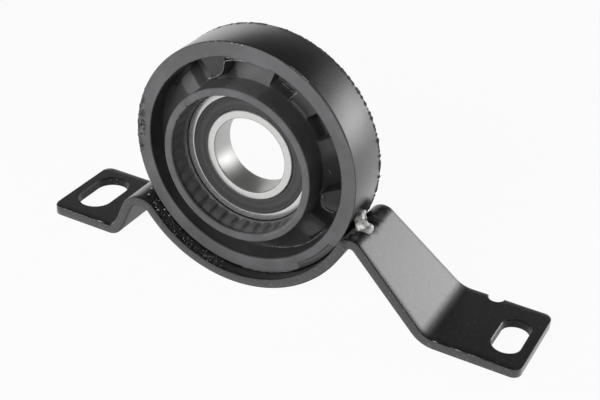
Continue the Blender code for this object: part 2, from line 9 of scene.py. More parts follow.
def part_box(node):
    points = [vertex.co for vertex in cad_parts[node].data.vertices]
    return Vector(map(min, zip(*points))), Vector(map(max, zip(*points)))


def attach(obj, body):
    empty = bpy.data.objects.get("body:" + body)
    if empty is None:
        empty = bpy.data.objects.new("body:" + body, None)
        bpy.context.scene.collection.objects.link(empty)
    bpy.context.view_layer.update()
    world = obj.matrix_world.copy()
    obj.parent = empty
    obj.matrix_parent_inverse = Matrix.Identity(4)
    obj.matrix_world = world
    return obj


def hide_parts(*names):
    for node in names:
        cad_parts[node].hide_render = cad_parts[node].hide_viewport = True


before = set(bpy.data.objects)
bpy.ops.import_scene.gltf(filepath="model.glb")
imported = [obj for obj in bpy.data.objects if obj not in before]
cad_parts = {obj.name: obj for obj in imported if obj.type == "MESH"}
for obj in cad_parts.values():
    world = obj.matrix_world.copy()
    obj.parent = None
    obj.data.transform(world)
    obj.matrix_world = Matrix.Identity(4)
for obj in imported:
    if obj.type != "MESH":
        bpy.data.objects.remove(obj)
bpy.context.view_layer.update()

# Camera
# The photograph's viewpoint, fitted to the ring, the bore and the two feet: a long lens,
# to the right of the shaft and above it, with the picture tipped a little.
CAMERA_PLACE = (0.2037, -0.4033, 0.3110)
CAMERA_AZIMUTH = 26.458
CAMERA_ELEVATION = 31.189
CAMERA_TIP = -3.537
CAMERA_LENS = 71.45

camera = bpy.data.objects.new("camera", bpy.data.cameras.new("camera"))
bpy.context.scene.collection.objects.link(camera)
bpy.context.scene.camera = camera
camera.data.lens = CAMERA_LENS
camera.data.sensor_width = 36.0
camera.data.clip_start = 0.01
azimuth, elevation = math.radians(CAMERA_AZIMUTH), math.radians(CAMERA_ELEVATION)
look = Vector((-math.sin(azimuth) * math.cos(elevation), math.cos(azimuth) * math.cos(elevation),
               -math.sin(elevation)))
level_right = look.cross(Vector((0, 0, 1))).normalized()
level_up = level_right.cross(look)
tip = math.radians(CAMERA_TIP)
camera_right = math.cos(tip) * level_right - math.sin(tip) * level_up
camera_up = math.sin(tip) * level_right + math.cos(tip) * level_up
camera_turn = Matrix((camera_right, camera_up, -look)).transposed().to_4x4()
camera.matrix_world = Matrix.Translation(CAMERA_PLACE) @ camera_turn

# Inner race
# The ring of hardened bearing steel that grips the shaft. It is turned and then ground, so its
# end face and bore are bright, with very fine rings round them, and its edges are rolled over.
ring_low, ring_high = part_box("outer_ring")
SHAFT_X = (ring_low.x + ring_high.x) / 2
SHAFT_Z = (ring_low.z + ring_high.z) / 2
RING_FRONT = ring_low.y
BORE_RADIUS = 0.0175
INNER_LAND = 0.0213
RACE_EDGE = 0.0008
ROUND_STEPS = 240
LINE_PITCH_MM = 0.25
FACE_FINISH = 0.26
BORE_FINISH = 0.37
AT_ANY_DEPTH = (1, 1000, 1)


def from_shaft(across, depth, up):
    """A place in the scene from one measured off the shaft's line and the ring's front."""
    return SHAFT_X + across, RING_FRONT + depth, SHAFT_Z + up


def srgb(code):
    """A linear colour from an sRGB hex value."""
    values = [int(code[place:place + 2], 16) / 255 for place in (1, 3, 5)]
    return [value / 12.92 if value <= 0.04045 else ((value + 0.055) / 1.055) ** 2.4 for value in values]


def join(material, node, links):
    """Joins sockets, or nodes by their first output, to a node's own sockets."""
    for key, source in links.items():
        socket = source if isinstance(source, bpy.types.NodeSocket) else source.outputs[0]
        material.node_tree.links.new(socket, node.inputs[key])


def add_node(material, kind, settings=None, links=None):
    """Adds one shader node; settings fill its options, sockets and ramp, and links join its sockets."""
    made = material.node_tree.nodes.new("ShaderNode" + kind)
    for key, value in (settings or {}).items():
        if key == "ramp":
            for stop, (position, code) in zip(made.color_ramp.elements, value):
                stop.position = position
                stop.color = (*srgb(code), 1)
        elif isinstance(key, str) and hasattr(made, key):
            setattr(made, key, value)
        else:
            made.inputs[key].default_value = value
    join(material, made, links or {})
    return made


def new_material(name, roughness, metallic=0.0):
    """A Principled material and its shader, with the two numbers that are the same all over."""
    material = bpy.data.materials.new(name)
    material.use_nodes = True
    shader = material.node_tree.nodes["Principled BSDF"]
    shader.inputs["Roughness"].default_value = roughness
    shader.inputs["Metallic"].default_value = metallic
    return material, shader


def distance_from(material, place, middle, reach):
    """Distance from a middle, counted in the half-widths given; 1000 leaves a direction out."""
    offset = add_node(material, "VectorMath", {"operation": "SUBTRACT", 1: middle}, {0: place})
    shares = add_node(material, "VectorMath", {"operation": "DIVIDE", 1: reach}, {0: offset})
    return add_node(material, "VectorMath", {"operation": "LENGTH"}, {0: shares}).outputs["Value"]


def turned_place(material):
    """Radius and length along the shaft as a vector, so that a noise in it draws turned rings."""
    place = add_node(material, "TexCoord").outputs["Object"]
    radius = distance_from(material, place, from_shaft(0, 0, 0), AT_ANY_DEPTH)
    depth = add_node(material, "SeparateXYZ", {}, {0: place}).outputs["Y"]
    return add_node(material, "CombineXYZ", {}, {"X": radius, "Y": depth}).outputs[0]


def new_piece(name, mesh, material, body, *nodes):
    """Shows a finished mesh in the place of CAD nodes, riding on their body."""
    piece = bpy.data.objects.new(name, mesh)
    bpy.context.scene.collection.objects.link(piece)
    mesh.name = name
    mesh.materials.clear()
    mesh.materials.append(material)
    mesh.shade_smooth()
    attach(piece, body)
    if nodes:
        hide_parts(*nodes)
    return piece


def rolled(profile, size, steps=3):
    """A closed profile with every corner rounded by about the size given."""
    points = []
    for index, corner in enumerate(profile):
        here = Vector(corner)
        before = Vector(profile[index - 1]) - here
        after = Vector(profile[(index + 1) % len(profile)]) - here
        start = here + before.normalized() * min(size, before.length * 0.45)
        end = here + after.normalized() * min(size, after.length * 0.45)
        for step in range(steps + 1):
            share = step / steps
            points.append(start * (1 - share) ** 2 + here * 2 * share * (1 - share) + end * share ** 2)
    return points


def grid_mesh(rows, around=True):
    """A mesh from closed rows of points; the last row joins the first, or else both ends are filled."""
    rows = np.asarray(rows, dtype=float)
    count, width = rows.shape[:2]
    row = np.arange(count if around else count - 1)
    first, second = np.meshgrid(row, np.arange(width), indexing="ij")
    next_first, next_second = (first + 1) % count, (second + 1) % width
    corners = [first * width + second, next_first * width + second,
               next_first * width + next_second, first * width + next_second]
    faces = np.stack(corners, axis=-1).reshape(-1, 4)
    mesh = bpy.data.meshes.new("shape")
    mesh.from_pydata(rows.reshape(-1, 3).tolist(), [], faces.tolist())
    form = bmesh.new()
    form.from_mesh(mesh)
    bmesh.ops.recalc_face_normals(form, faces=form.faces)
    if not around:
        bmesh.ops.holes_fill(form, edges=[edge for edge in form.edges if edge.is_boundary])
        bmesh.ops.recalc_face_normals(form, faces=form.faces)
    form.to_mesh(mesh)
    form.free()
    return mesh


def turned(profile, steps=ROUND_STEPS):
    """A closed (radius, depth) profile turned round the shaft; depth runs back from the ring's front."""
    turn = np.linspace(0, 2 * math.pi, steps, endpoint=False)
    profile = np.array([tuple(point) for point in profile])
    radius, depth = profile[:, 0], profile[:, 1]
    across, up = np.outer(np.cos(turn), radius), np.outer(np.sin(turn), radius)
    return grid_mesh(np.stack(from_shaft(across, np.tile(depth, (steps, 1)), up), axis=-1))


# Ground steel: bright and clean, and its fine rings blur what it mirrors into soft bands. Real
# grinding lines are about 0.01 mm apart, and they are drawn 25 times coarser so that they show.
# The honed bore is duller than the faces, and its tone is painted darker as shade that dims the lamps' glint
# in it.
ground_steel, shader = new_material("ground_bearing_steel", FACE_FINISH, 0.8)
rings = turned_place(ground_steel)
fine = add_node(ground_steel, "TexNoise", {"Scale": 1000 / LINE_PITCH_MM, "Detail": 2.0}, {"Vector": rings})
face_tone = add_node(ground_steel, "ValToRGB", {"ramp": ((0.3, "#bebebd"), (0.7, "#e2e2e0"))}, {"Fac": fine})
# Painted shade: the bore takes a darker tone than the faces.
bore_shade_tone = add_node(ground_steel, "ValToRGB", {"ramp": ((0.3, "#aaaaa9"), (0.7, "#cacac8"))}, {"Fac": fine})
radius = add_node(ground_steel, "SeparateXYZ", {}, {0: rings})
in_bore = add_node(ground_steel, "MapRange", {"From Min": 0.0178, "From Max": 0.0176}, {"Value": radius})
tone = add_node(ground_steel, "Mix", {"data_type": "RGBA"}, {0: in_bore, 6: face_tone, 7: bore_shade_tone})
dulled = add_node(ground_steel, "MapRange", {"To Min": FACE_FINISH, "To Max": BORE_FINISH},
                  {"Value": in_bore})
scratch = add_node(ground_steel, "Bump", {"Strength": 0.12, "Distance": 0.00002}, {"Height": fine})
join(ground_steel, shader, {"Base Color": tone.outputs[2], "Roughness": dulled, "Normal": scratch})

race_low, race_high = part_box("inner_race")
race_front, race_back = race_low.y - RING_FRONT, race_high.y - RING_FRONT
race_profile = rolled([(BORE_RADIUS, race_front), (INNER_LAND, race_front),
                       (INNER_LAND, race_back), (BORE_RADIUS, race_back)], RACE_EDGE)
new_piece("inner_race_ground", turned(race_profile), ground_steel, "inner_ring", "inner_race")

# Outer race
# The bearing's fixed ring, of the same ground steel. Its end face shows as a narrow bright band
# between the seal and the steel sleeve that it is pressed into.
OUTER_RADIUS = 0.0310
SEAL_SEAT = 0.0279
SEAL_GROOVE = 0.0020
OUTER_LAND = 0.0272
OUTER_EDGE = 0.0004

outer_profile = rolled([(OUTER_RADIUS, race_front), (OUTER_RADIUS, race_back), (SEAL_SEAT, race_back),
                        (SEAL_SEAT, race_back - SEAL_GROOVE), (OUTER_LAND, race_back - SEAL_GROOVE),
                        (OUTER_LAND, race_front + SEAL_GROOVE), (SEAL_SEAT, race_front + SEAL_GROOVE),
                        (SEAL_SEAT, race_front)], OUTER_EDGE)
new_piece("outer_race_ground", turned(outer_profile), ground_steel, "mount", "outer_race")

# Balls and cage
# Eleven polished steel balls in a cage pressed from two steel ribbons. The seals hide them, so
# they stay as the frame gives them, with the metals' own finish.
CLOUD_MM = 2.5

# Pressed sheet steel: grey and slightly cloudy from the press and its oil, with a dull sheen.
pressed_steel, shader = new_material("pressed_sheet_steel", 0.42, 1.0)
place = add_node(pressed_steel, "TexCoord").outputs["Object"]
cloud = add_node(pressed_steel, "TexNoise", {"Scale": 1000 / CLOUD_MM, "Detail": 4.0}, {"Vector": place})
tone = add_node(pressed_steel, "ValToRGB", {"ramp": ((0.0, "#7d7d7c"), (1.0, "#b9b9b7"))}, {"Fac": cloud})
join(pressed_steel, shader, {"Base Color": tone})
for node_name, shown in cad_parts.items():
    if node_name.startswith(("ball", "cage")):
        shown.data.materials.clear()
        shown.data.materials.append(ground_steel if node_name.startswith("ball") else pressed_steel)

# Seals
# Two rubber-covered washers that snap into the outer race. The moulded face is dark and smooth,
# with fine rings from the tool, and its lip stops just short of the inner race.
SEAL_LIP = 0.02155
SEAL_OUTSIDE = 0.0277
SEAL_RECESS = 0.0005
SEAL_THICKNESS = 0.0012
SEAL_RING_MM = 0.4
LIP_WIDTH = 0.0009
LIP_DROP = 0.0003
GROOVE_FROM, GROOVE_TO = 0.0261, 0.0267
GROOVE_DROP = 0.00015
GROOVE_SLOPE = 0.0001
SEAL_EDGE = 0.00015

# Seal rubber: dark, smooth and a little glossy. The rings that the mould's turning left are about
# 0.1 mm apart, and they are drawn four times coarser so that they show.
seal_rubber, shader = new_material("moulded_seal_rubber", 0.45)
shader.inputs["Specular IOR Level"].default_value = 0.3
fine = add_node(seal_rubber, "TexNoise", {"Scale": 1000 / SEAL_RING_MM, "Detail": 3.0},
                {"Vector": turned_place(seal_rubber)})
tone = add_node(seal_rubber, "ValToRGB", {"ramp": ((0.35, "#3b3b3c"), (0.7, "#4d4d4e"))}, {"Fac": fine})
scratch = add_node(seal_rubber, "Bump", {"Strength": 0.25, "Distance": 0.00003}, {"Height": fine})
join(seal_rubber, shader, {"Base Color": tone, "Normal": scratch})


def seal_profile(face, inward):
    """The washer's section: a lip step, a flat face and a shallow groove near its outside."""
    outside = face + inward * SEAL_RECESS
    inside = outside + inward * SEAL_THICKNESS
    lip = outside + inward * LIP_DROP
    floor = outside + inward * GROOVE_DROP
    lip_end = SEAL_LIP + LIP_WIDTH
    return rolled([(SEAL_LIP, lip), (lip_end, lip), (lip_end + GROOVE_SLOPE, outside), (GROOVE_FROM, outside),
                   (GROOVE_FROM + GROOVE_SLOPE, floor), (GROOVE_TO - GROOVE_SLOPE, floor),
                   (GROOVE_TO, outside), (SEAL_OUTSIDE, outside), (SEAL_OUTSIDE, inside), (SEAL_LIP, inside)],
                  SEAL_EDGE, 2)


for seal_name, face, inward in (("seal_front", race_front, 1), ("seal_rear", race_back, -1)):
    new_piece(seal_name + "_moulded", turned(seal_profile(face, inward)), seal_rubber, "mount", seal_name)

# Bearing sleeve
# A cup pressed from sheet steel round the bearing, bonded to the rubber outside it. Only its
# front edge and its rear lip are seen.
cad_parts["bearing_sleeve"].data.materials.clear()
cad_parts["bearing_sleeve"].data.materials.append(pressed_steel)

# Rubber mount
# One moulding of black rubber, bonded into the ring and round the sleeve: a collar with ribs on
# its inside, a web with blind pockets and pads, and a skin that laps both ends of the ring. It is
# dull, and ragged flash stands along its edges where the mould halves met.
COLLAR_RADIUS = 0.0359
COLLAR_BORE = 0.0334
COLLAR_FRONT = -0.0062
COLLAR_BACK = 0.0210
SLEEVE_OUTSIDE = 0.0328
SKIN_INSIDE = 0.0316
LINING_BORE = 0.0474
LINING_OUTSIDE = 0.0510
RING_RADIUS = 0.0543
RING_WIDTH = ring_high.y - ring_low.y
TOP_LIMIT = 0.05426
SKIN = 0.00016
WEB_AT_COLLAR = 0.0065
WEB_AT_RING = 0.0115
WEB_THICKNESS = 0.0085
POCKET_DEPTH = 0.0072
PAD_RISE = 0.0008
RUBBER_MIDDLE = 52.0
POCKETS = ((8.25, 25.25, 0.0), (65.5, 83.5, 3.5))
PAD_END = 102.5
PAD_OUTSIDE = 0.0455
PAD_STEP = 0.0022
POCKET_CORNER = 0.0008
WALL_WIDTH = 0.0003
RAMP_HALF = 8.0
RAMP_FOOT = 0.0004
RAMP_RISE = 0.0016
RIM_BORE = 0.0323
RIB_COUNT = 36
RIB_HEIGHT = 0.0013
RIM_EDGE = 0.0006
BLOOM_MM = 11.11
MOTTLE_MM = 1.538
GRAIN_MM = 0.625
# Places on the rubber's face, across and up from the shaft: patches of painted light in the groove,
# as pale as the outside, each with its reach and fade, one patch of painted shade, and the rubbed left edge.
PAINTED_LIGHT_PATCHES = ((0.001, 0.0425, 0.0100, 0.0014), (-0.0318, 0.0268, 0.0058, 0.0014),
                (0.0305, -0.0285, 0.0024, 0.0036))
PAINTED_SHADE_PLACE = (0.0430, 0, 0.0015)
RUBBED_PLACE = (-0.0545, 0, 0.0085)
RUBBED_REACH = (0.0040, 1000, 0.0205)


def ripple(angle, seed, waves, size):
    """A smooth irregular line round the shaft, from a few seeded sines."""
    draw = np.random.default_rng(seed)
    total = np.zeros_like(angle)
    for count in waves:
        total = total + np.sin(count * angle + draw.uniform(0, 2 * math.pi)) * draw.uniform(0.5, 1.0)
    return size * total / len(waves)


def ease(value, width):
    """Goes smoothly from 0 to 1 as the value crosses zero, over the width."""
    share = np.clip(value / width + 0.5, 0, 1)
    return share * share * (3 - 2 * share)


def between(angle, first, last, fade=3.0):
    """One between two angles in degrees, fading to nothing just outside them."""
    away = np.abs((np.degrees(angle) - (first + last) / 2 + 180) % 360 - 180)
    return ease((last - first) / 2 - away, fade)


def inside_box(across, along, corner):
    """Depth inside a rounded box from the distances inside its sides."""
    return corner - np.hypot(np.maximum(corner - across, 0), np.maximum(corner - along, 0))


def web_front(radius, angle):
    """Depth of the web's front surface at a radius and an angle round the shaft."""
    share = (radius - COLLAR_RADIUS) / (LINING_BORE - COLLAR_RADIUS)
    plain = WEB_AT_COLLAR + (WEB_AT_RING - WEB_AT_COLLAR) * share
    away = np.abs((np.degrees(angle) - RUBBER_MIDDLE + 180) % 360 - 180)
    pad = ease(away - 80, 2.0) * ease(PAD_END - away, 0.8)
    depth = plain + PAD_RISE * ease(away - PAD_END, 0.8) + PAD_STEP * pad * ease(radius - PAD_OUTSIDE, 0.0008)
    radial = np.minimum(radius - COLLAR_RADIUS - WALL_WIDTH, LINING_BORE - WALL_WIDTH - radius)
    for first, last, flare in POCKETS:
        tangent = np.minimum(away - first, last + flare * share - away) * np.radians(1) * radius
        pocket = ease(inside_box(tangent, radial, POCKET_CORNER), WALL_WIDTH)
        depth = depth + pocket * (plain + POCKET_DEPTH - depth)
    ramp = RAMP_FOOT + (WEB_AT_COLLAR + RAMP_RISE) * (1 - share) ** 1.8
    within = (RAMP_HALF - away) * np.radians(1) * radius
    return depth + ease(within, WALL_WIDTH) * (ramp - depth)


def rubber_angles():
    """Angles round the moulding, closer together at the sides of pockets, pads and ramp."""
    edges = (RAMP_HALF, *POCKETS[0][:2], POCKETS[1][0], PAD_END)
    fine = [side * (edge + step) for edge in edges for side in (-1, 1)
            for step in np.arange(-0.6, 0.65, 0.1)]
    fine += [side * edge for side in (-1, 1) for edge in np.arange(82.8, 87.7, 0.15)]
    coarse = np.arange(0, 360, 0.6)
    angles = np.concatenate([coarse, np.mod(RUBBER_MIDDLE + np.array(fine), 360)])
    return np.radians(np.unique(np.round(angles, 2)))


def rubber_rows():
    """The moulding's section at every angle: collar, web and lining in one closed loop."""
    angle = rubber_angles()
    columns = []

    def add(radius, depth):
        columns.append((np.broadcast_to(radius, angle.shape), np.broadcast_to(depth, angle.shape)))

    # The collar's rim, rounded and worn at its bore, and the collar's outside.
    ragged = ripple(angle, 3, (37, 61, 89, 127, 163), 0.0012)
    rim_wear = np.maximum(ragged, 0) * (0.15 + 0.85 * between(angle, 105, 165, 20))
    for step in range(5):
        turn = math.radians(90 - 90 * step / 4)
        add(RIM_BORE + rim_wear + RIM_EDGE * (1 - math.sin(turn)),
            COLLAR_FRONT + RIM_EDGE * (1 - math.cos(turn)))
    for share in (0.35, 0.65):
        add(RIM_BORE + 2 * RIM_EDGE + (COLLAR_RADIUS - RIM_BORE - 3 * RIM_EDGE) * share, COLLAR_FRONT)
    for step in range(5):
        turn = math.radians(90 * step / 4)
        add(COLLAR_RADIUS - RIM_EDGE * (1 - math.sin(turn)), COLLAR_FRONT + RIM_EDGE * (1 - math.cos(turn)))
    for share in (0.25, 0.5, 0.75, 0.92):
        add(COLLAR_RADIUS, COLLAR_FRONT + RIM_EDGE + (WEB_AT_COLLAR - COLLAR_FRONT - RIM_EDGE) * share)

    # The web's front with its pockets, closer rows at both ends, and the lining's bore.
    web = np.concatenate([[0.00005, 0.0002, 0.0003, 0.0004, 0.0006], np.linspace(0.0010, 0.0106, 26),
                          [0.0109, 0.0110, 0.0111, 0.0112, 0.0114]])
    for offset in web:
        radius = np.full_like(angle, COLLAR_RADIUS + offset)
        add(radius, web_front(radius, angle))
    wall = web_front(np.full_like(angle, LINING_BORE - 0.00001), angle)
    for share in (0.3, 0.6, 0.85):
        add(LINING_BORE, wall + (0.0008 - wall) * share)

    # The skin over the ring's front, ragged inside at the top and outside all round.
    lip = between(angle, 77, 103, 4) * (0.0006 + ripple(angle, 17, (41, 67, 101), 0.0004))
    lip = lip + ripple(angle, 5, (3, 7, 12), 0.0001)
    for offset, depth in ((0, 0.0007), (-0.0001, 0.0003), (0.0001, -0.7 * SKIN), (0.0004, -SKIN)):
        add(LINING_BORE - lip + offset, depth)
    shred = ripple(angle, 8, (43, 71, 97, 131, 167, 211), 0.0016)
    left = between(angle, 152, 192, 8)
    outer = RING_RADIUS - 0.0003 + shred * (0.10 + 0.12 * between(angle, 95, 150, 10))
    outer = outer + left * (0.0001 + 0.35 * shred)
    outer = outer - between(angle, 28, 70, 4) * 0.0003 + between(angle, -30, 24, 4) * 0.0002
    outer = outer - between(angle, -55, -31, 1.0) * 0.0027
    outer = np.minimum(outer, TOP_LIMIT / np.maximum(np.sin(angle), 0.5))
    for share in (0.1, 0.4, 0.7, 0.8, 0.88, 0.94, 0.98):
        radius = LINING_BORE + 0.0004 + (outer - LINING_BORE - 0.0004) * share
        lumpy = ripple(angle * 3 + radius * 4000, 21, (29, 47, 83), 0.0007)
        add(radius, -SKIN + lumpy * left * max(0, (share - 0.6) / 0.4))
    add(outer, -0.5 * SKIN)
    add(outer - 0.00005, 0.00006)

    # The lining's outside against the ring, and the skin over the ring's back.
    for depth in (0.0004, RING_WIDTH * 0.5, RING_WIDTH - 0.0004):
        add(LINING_OUTSIDE, depth)
    shred = ripple(angle, 9, (31, 59, 101, 139, 173), 0.0012)
    outer = RING_RADIUS + 0.0001 + shred * (0.25 + 0.35 * between(angle, -10, 50, 15))
    outer = np.minimum(outer, TOP_LIMIT / np.maximum(np.sin(angle), 0.5))
    bulge = outer + 0.0001 * between(angle, -30, 60, 10)
    for radius, depth in ((RING_RADIUS - 0.0002, -0.0013), (outer, -0.0011), (bulge, -0.0004),
                          (outer - 0.0001, SKIN), (0.0525, SKIN), (LINING_BORE + 0.0005, SKIN),
                          (LINING_BORE + 0.0001, -0.0004), (LINING_BORE, -0.0010)):
        add(radius, RING_WIDTH + depth)

    # The web's back, the collar's back end and the seat of the sleeve.
    back_at_ring = WEB_AT_RING + WEB_THICKNESS
    back_at_collar = WEB_AT_COLLAR + WEB_THICKNESS
    add(LINING_BORE, back_at_ring + 0.0006)
    for share in np.linspace(0.04, 0.96, 10):
        add(LINING_BORE + (COLLAR_RADIUS - LINING_BORE) * share,
            back_at_ring + (back_at_collar - back_at_ring) * share)
    add(COLLAR_RADIUS, back_at_collar + 0.0006)
    for radius, depth in ((COLLAR_RADIUS, -0.0008), (COLLAR_RADIUS - 0.0002, -0.0002),
                          (COLLAR_RADIUS - 0.0008, 0), (SLEEVE_OUTSIDE + 0.0003, 0),
                          (SLEEVE_OUTSIDE, -0.0003)):
        add(radius, COLLAR_BACK + depth)
    skin_front = race_front - 0.0003
    add(SLEEVE_OUTSIDE, race_front - 0.00005)
    add(SKIN_INSIDE, race_front - 0.00005)
    add(SKIN_INSIDE, skin_front + 0.0001)
    add(SKIN_INSIDE + 0.0001, skin_front)

    # The ribs inside the collar, strongest below, and the step behind the rim.
    tooth = ease(np.cos(RIB_COUNT * angle) + 0.45 + ripple(angle, 31, (5, 11, 23), 0.3), 1.1)
    below = 0.45 + 0.55 * between(angle, -140, -30, 50)
    start = COLLAR_FRONT + 0.0022
    for share in (0.0, 0.08, 0.2, 0.35, 0.5, 0.65, 0.8, 0.95):
        height = RIB_HEIGHT * (tooth * below * ease(0.8 - share, 0.6) + 0.1)
        add(COLLAR_BORE - height, skin_front - 0.0001 + (start - skin_front) * share)
    add(COLLAR_BORE - 0.0004, start - 0.0001)
    add(RIM_BORE + 0.0003 + rim_wear, start - 0.0004)
    add(RIM_BORE + rim_wear, start - 0.0008)
    add(RIM_BORE + rim_wear, COLLAR_FRONT + RIM_EDGE + 0.0003)
    radius, depth = np.array(columns).transpose(1, 2, 0)
    turn = angle[:, None]
    return np.stack(from_shaft(radius * np.cos(turn), depth, radius * np.sin(turn)), axis=-1)


# Moulded rubber: dull and dark, with a fine grain from the mould. The outside faces carry a grey
# bloom in clouds about 11 mm wide. The groove is painted darker as shade, darker still where it
# stands proud, with pale patches of painted light, a patch of painted shade by the right stop and
# pocket floors painted almost black as shadow. The left edge is mottled every 1.5 mm where the ring
# was rubbed. The grain is drawn about six times coarser than the real one, which is near 0.1 mm.
rubber, shader = new_material("moulded_black_rubber", 0.6)
shader.inputs["Specular IOR Level"].default_value = 0.22
place = add_node(rubber, "TexCoord").outputs["Object"]
cloud = add_node(rubber, "TexNoise", {"Scale": 1000 / BLOOM_MM, "Detail": 5.0}, {"Vector": place})
# The first tone is the rubber's own colour with its bloom; the other three are painted shade and painted
# shadow for the groove and its pockets.
outside_tone, proud_shade_tone, web_shade_tone, painted_shadow_tone = [
    add_node(rubber, "ValToRGB", {"ramp": ((0.35, low), (0.7, high))}, {"Fac": cloud})
    for low, high in (("#5c5c5d", "#6a6a6c"), ("#3e3e3f", "#484849"), ("#4c4c4d", "#5c5c5d"),
                      ("#1e1e1f", "#2a2a2b"))]
radius, depth = add_node(rubber, "SeparateXYZ", {}, {0: turned_place(rubber)}).outputs[:2]
past_collar = add_node(rubber, "MapRange", {"From Min": 0.0357, "From Max": 0.0361}, {"Value": radius})
before_face = add_node(rubber, "MapRange", {"From Min": 0.0479, "From Max": 0.0476}, {"Value": radius})
# Painted shade: between the collar and the face the rubber takes the darker groove tones.
in_groove = add_node(rubber, "Math", {"operation": "MULTIPLY"}, {0: past_collar, 1: before_face})
dark_part = in_groove
# Painted light: inside these patches the groove keeps the outside's pale tone.
for across, up, reach, fade in PAINTED_LIGHT_PATCHES:
    away = distance_from(rubber, place, from_shaft(across, 0, up), AT_ANY_DEPTH)
    off_patch = add_node(rubber, "MapRange", {"From Min": reach, "From Max": reach + fade}, {"Value": away})
    dark_part = add_node(rubber, "Math", {"operation": "MULTIPLY"}, {0: dark_part, 1: off_patch})
# Painted shade: the groove's shallow parts, such as the stops and the collar's wall, take the darker proud
# tone.
sunk = add_node(rubber, "MapRange", {"From Min": 0.0040, "From Max": 0.0070}, {"Value": depth})
groove_shade_tone = add_node(rubber, "Mix", {"data_type": "RGBA"}, {0: sunk, 6: proud_shade_tone, 7: web_shade_tone})
skin_and_shade_tone = add_node(rubber, "Mix", {"data_type": "RGBA"},
                     {0: dark_part, 6: outside_tone, 7: groove_shade_tone.outputs[2]})
# Painted shade: near the right stop the groove fades towards the darkest tone.
away = distance_from(rubber, place, from_shaft(*PAINTED_SHADE_PLACE), AT_ANY_DEPTH)
near_stop = add_node(rubber, "MapRange", {"From Min": 0.0130, "From Max": 0.0090, "To Max": 0.75},
                     {"Value": away})
dim_part = add_node(rubber, "Math", {"operation": "MULTIPLY"}, {0: near_stop, 1: in_groove})
dim_tone = add_node(rubber, "Mix", {"data_type": "RGBA"},
                    {0: dim_part, 6: skin_and_shade_tone.outputs[2], 7: painted_shadow_tone})
mottle = add_node(rubber, "TexNoise", {"Scale": 1000 / MOTTLE_MM, "Detail": 4.0}, {"Vector": place})
rubbed_tone = add_node(rubber, "ValToRGB", {"ramp": ((0.40, "#303031"), (0.62, "#666668"))}, {"Fac": mottle})
away = distance_from(rubber, place, from_shaft(*RUBBED_PLACE), RUBBED_REACH)
ragged_away = add_node(rubber, "Math", {"operation": "MULTIPLY_ADD", 1: 0.8}, {0: mottle, 2: away})
rubbed = add_node(rubber, "MapRange", {"From Min": 1.65, "From Max": 1.40}, {"Value": ragged_away})
edge_tone = add_node(rubber, "Mix", {"data_type": "RGBA"},
                     {0: rubbed, 6: dim_tone.outputs[2], 7: rubbed_tone})
# Painted shadow: front faces deep in the groove's pockets take the darkest tone.
facing = add_node(rubber, "NewGeometry").outputs["Normal"]
facing_depth = add_node(rubber, "SeparateXYZ", {}, {0: facing}).outputs["Y"]
faces_front = add_node(rubber, "MapRange", {"From Min": 0.3, "From Max": 0.1}, {"Value": facing_depth})
deep = add_node(rubber, "MapRange", {"From Min": 0.0122, "From Max": 0.0134}, {"Value": depth})
deep_front = add_node(rubber, "Math", {"operation": "MULTIPLY"}, {0: deep, 1: faces_front})
pocket_shadow = add_node(rubber, "Math", {"operation": "MULTIPLY"}, {0: deep_front, 1: in_groove})
tone = add_node(rubber, "Mix", {"data_type": "RGBA"},
                {0: pocket_shadow, 6: edge_tone.outputs[2], 7: painted_shadow_tone})
grain = add_node(rubber, "TexNoise", {"Scale": 1000 / GRAIN_MM, "Detail": 3.0}, {"Vector": place})
skin = add_node(rubber, "Bump", {"Strength": 0.45, "Distance": 0.0001}, {"Height": grain})
join(rubber, shader, {"Base Color": tone.outputs[2], "Normal": skin})

new_piece("rubber_moulding", grid_mesh(rubber_rows()), rubber, "mount", "rubber_mount")

# Bump stops
# Two wedges of the same moulding that stand on the lining and point at the collar, to catch it
# before it hits the ring. Their front faces run on from the skin over the ring, with a ragged edge.
STOPS = {
    "stop_top": {"angle": 110.0, "face": -0.00008, "seed": 41,
                 "out": (0.0490, 0.0465, 0.0430, 0.0397, 0.0386),
                 "high": (0.0070, 0.0055, 0.0037, 0.0023, 0.0015),
                 "low": (0.0074, 0.0066, 0.0049, 0.0031, 0.0012)},
    "stop_right": {"angle": -6.0, "face": 0.0007, "seed": 42,
                   "out": (0.0490, 0.0465, 0.0430, 0.0402, 0.0387),
                   "high": (0.0082, 0.0056, 0.0033, 0.0014, 0.0004),
                   "low": (0.0056, 0.0055, 0.0055, 0.0053, 0.0036)},
}
STOP_TIP = 0.0382
STOP_DEPTH = 0.0135
# Each level of a wedge: its depth behind the face, how far it grows, and the flash on its edge.
STOP_LEVELS = ((0.0, -0.0010, 0.0), (0.0, -0.0006, 0.0), (0.0, -0.00025, 0.0004), (0.0, -0.0001, 0.0004),
               (0.0003, 0.0, 0.0), (0.0007, 0.0, 0.0), (0.004, 0.0001, 0.0), (0.009, 0.00025, 0.0),
               (STOP_DEPTH, 0.0004, 0.0))


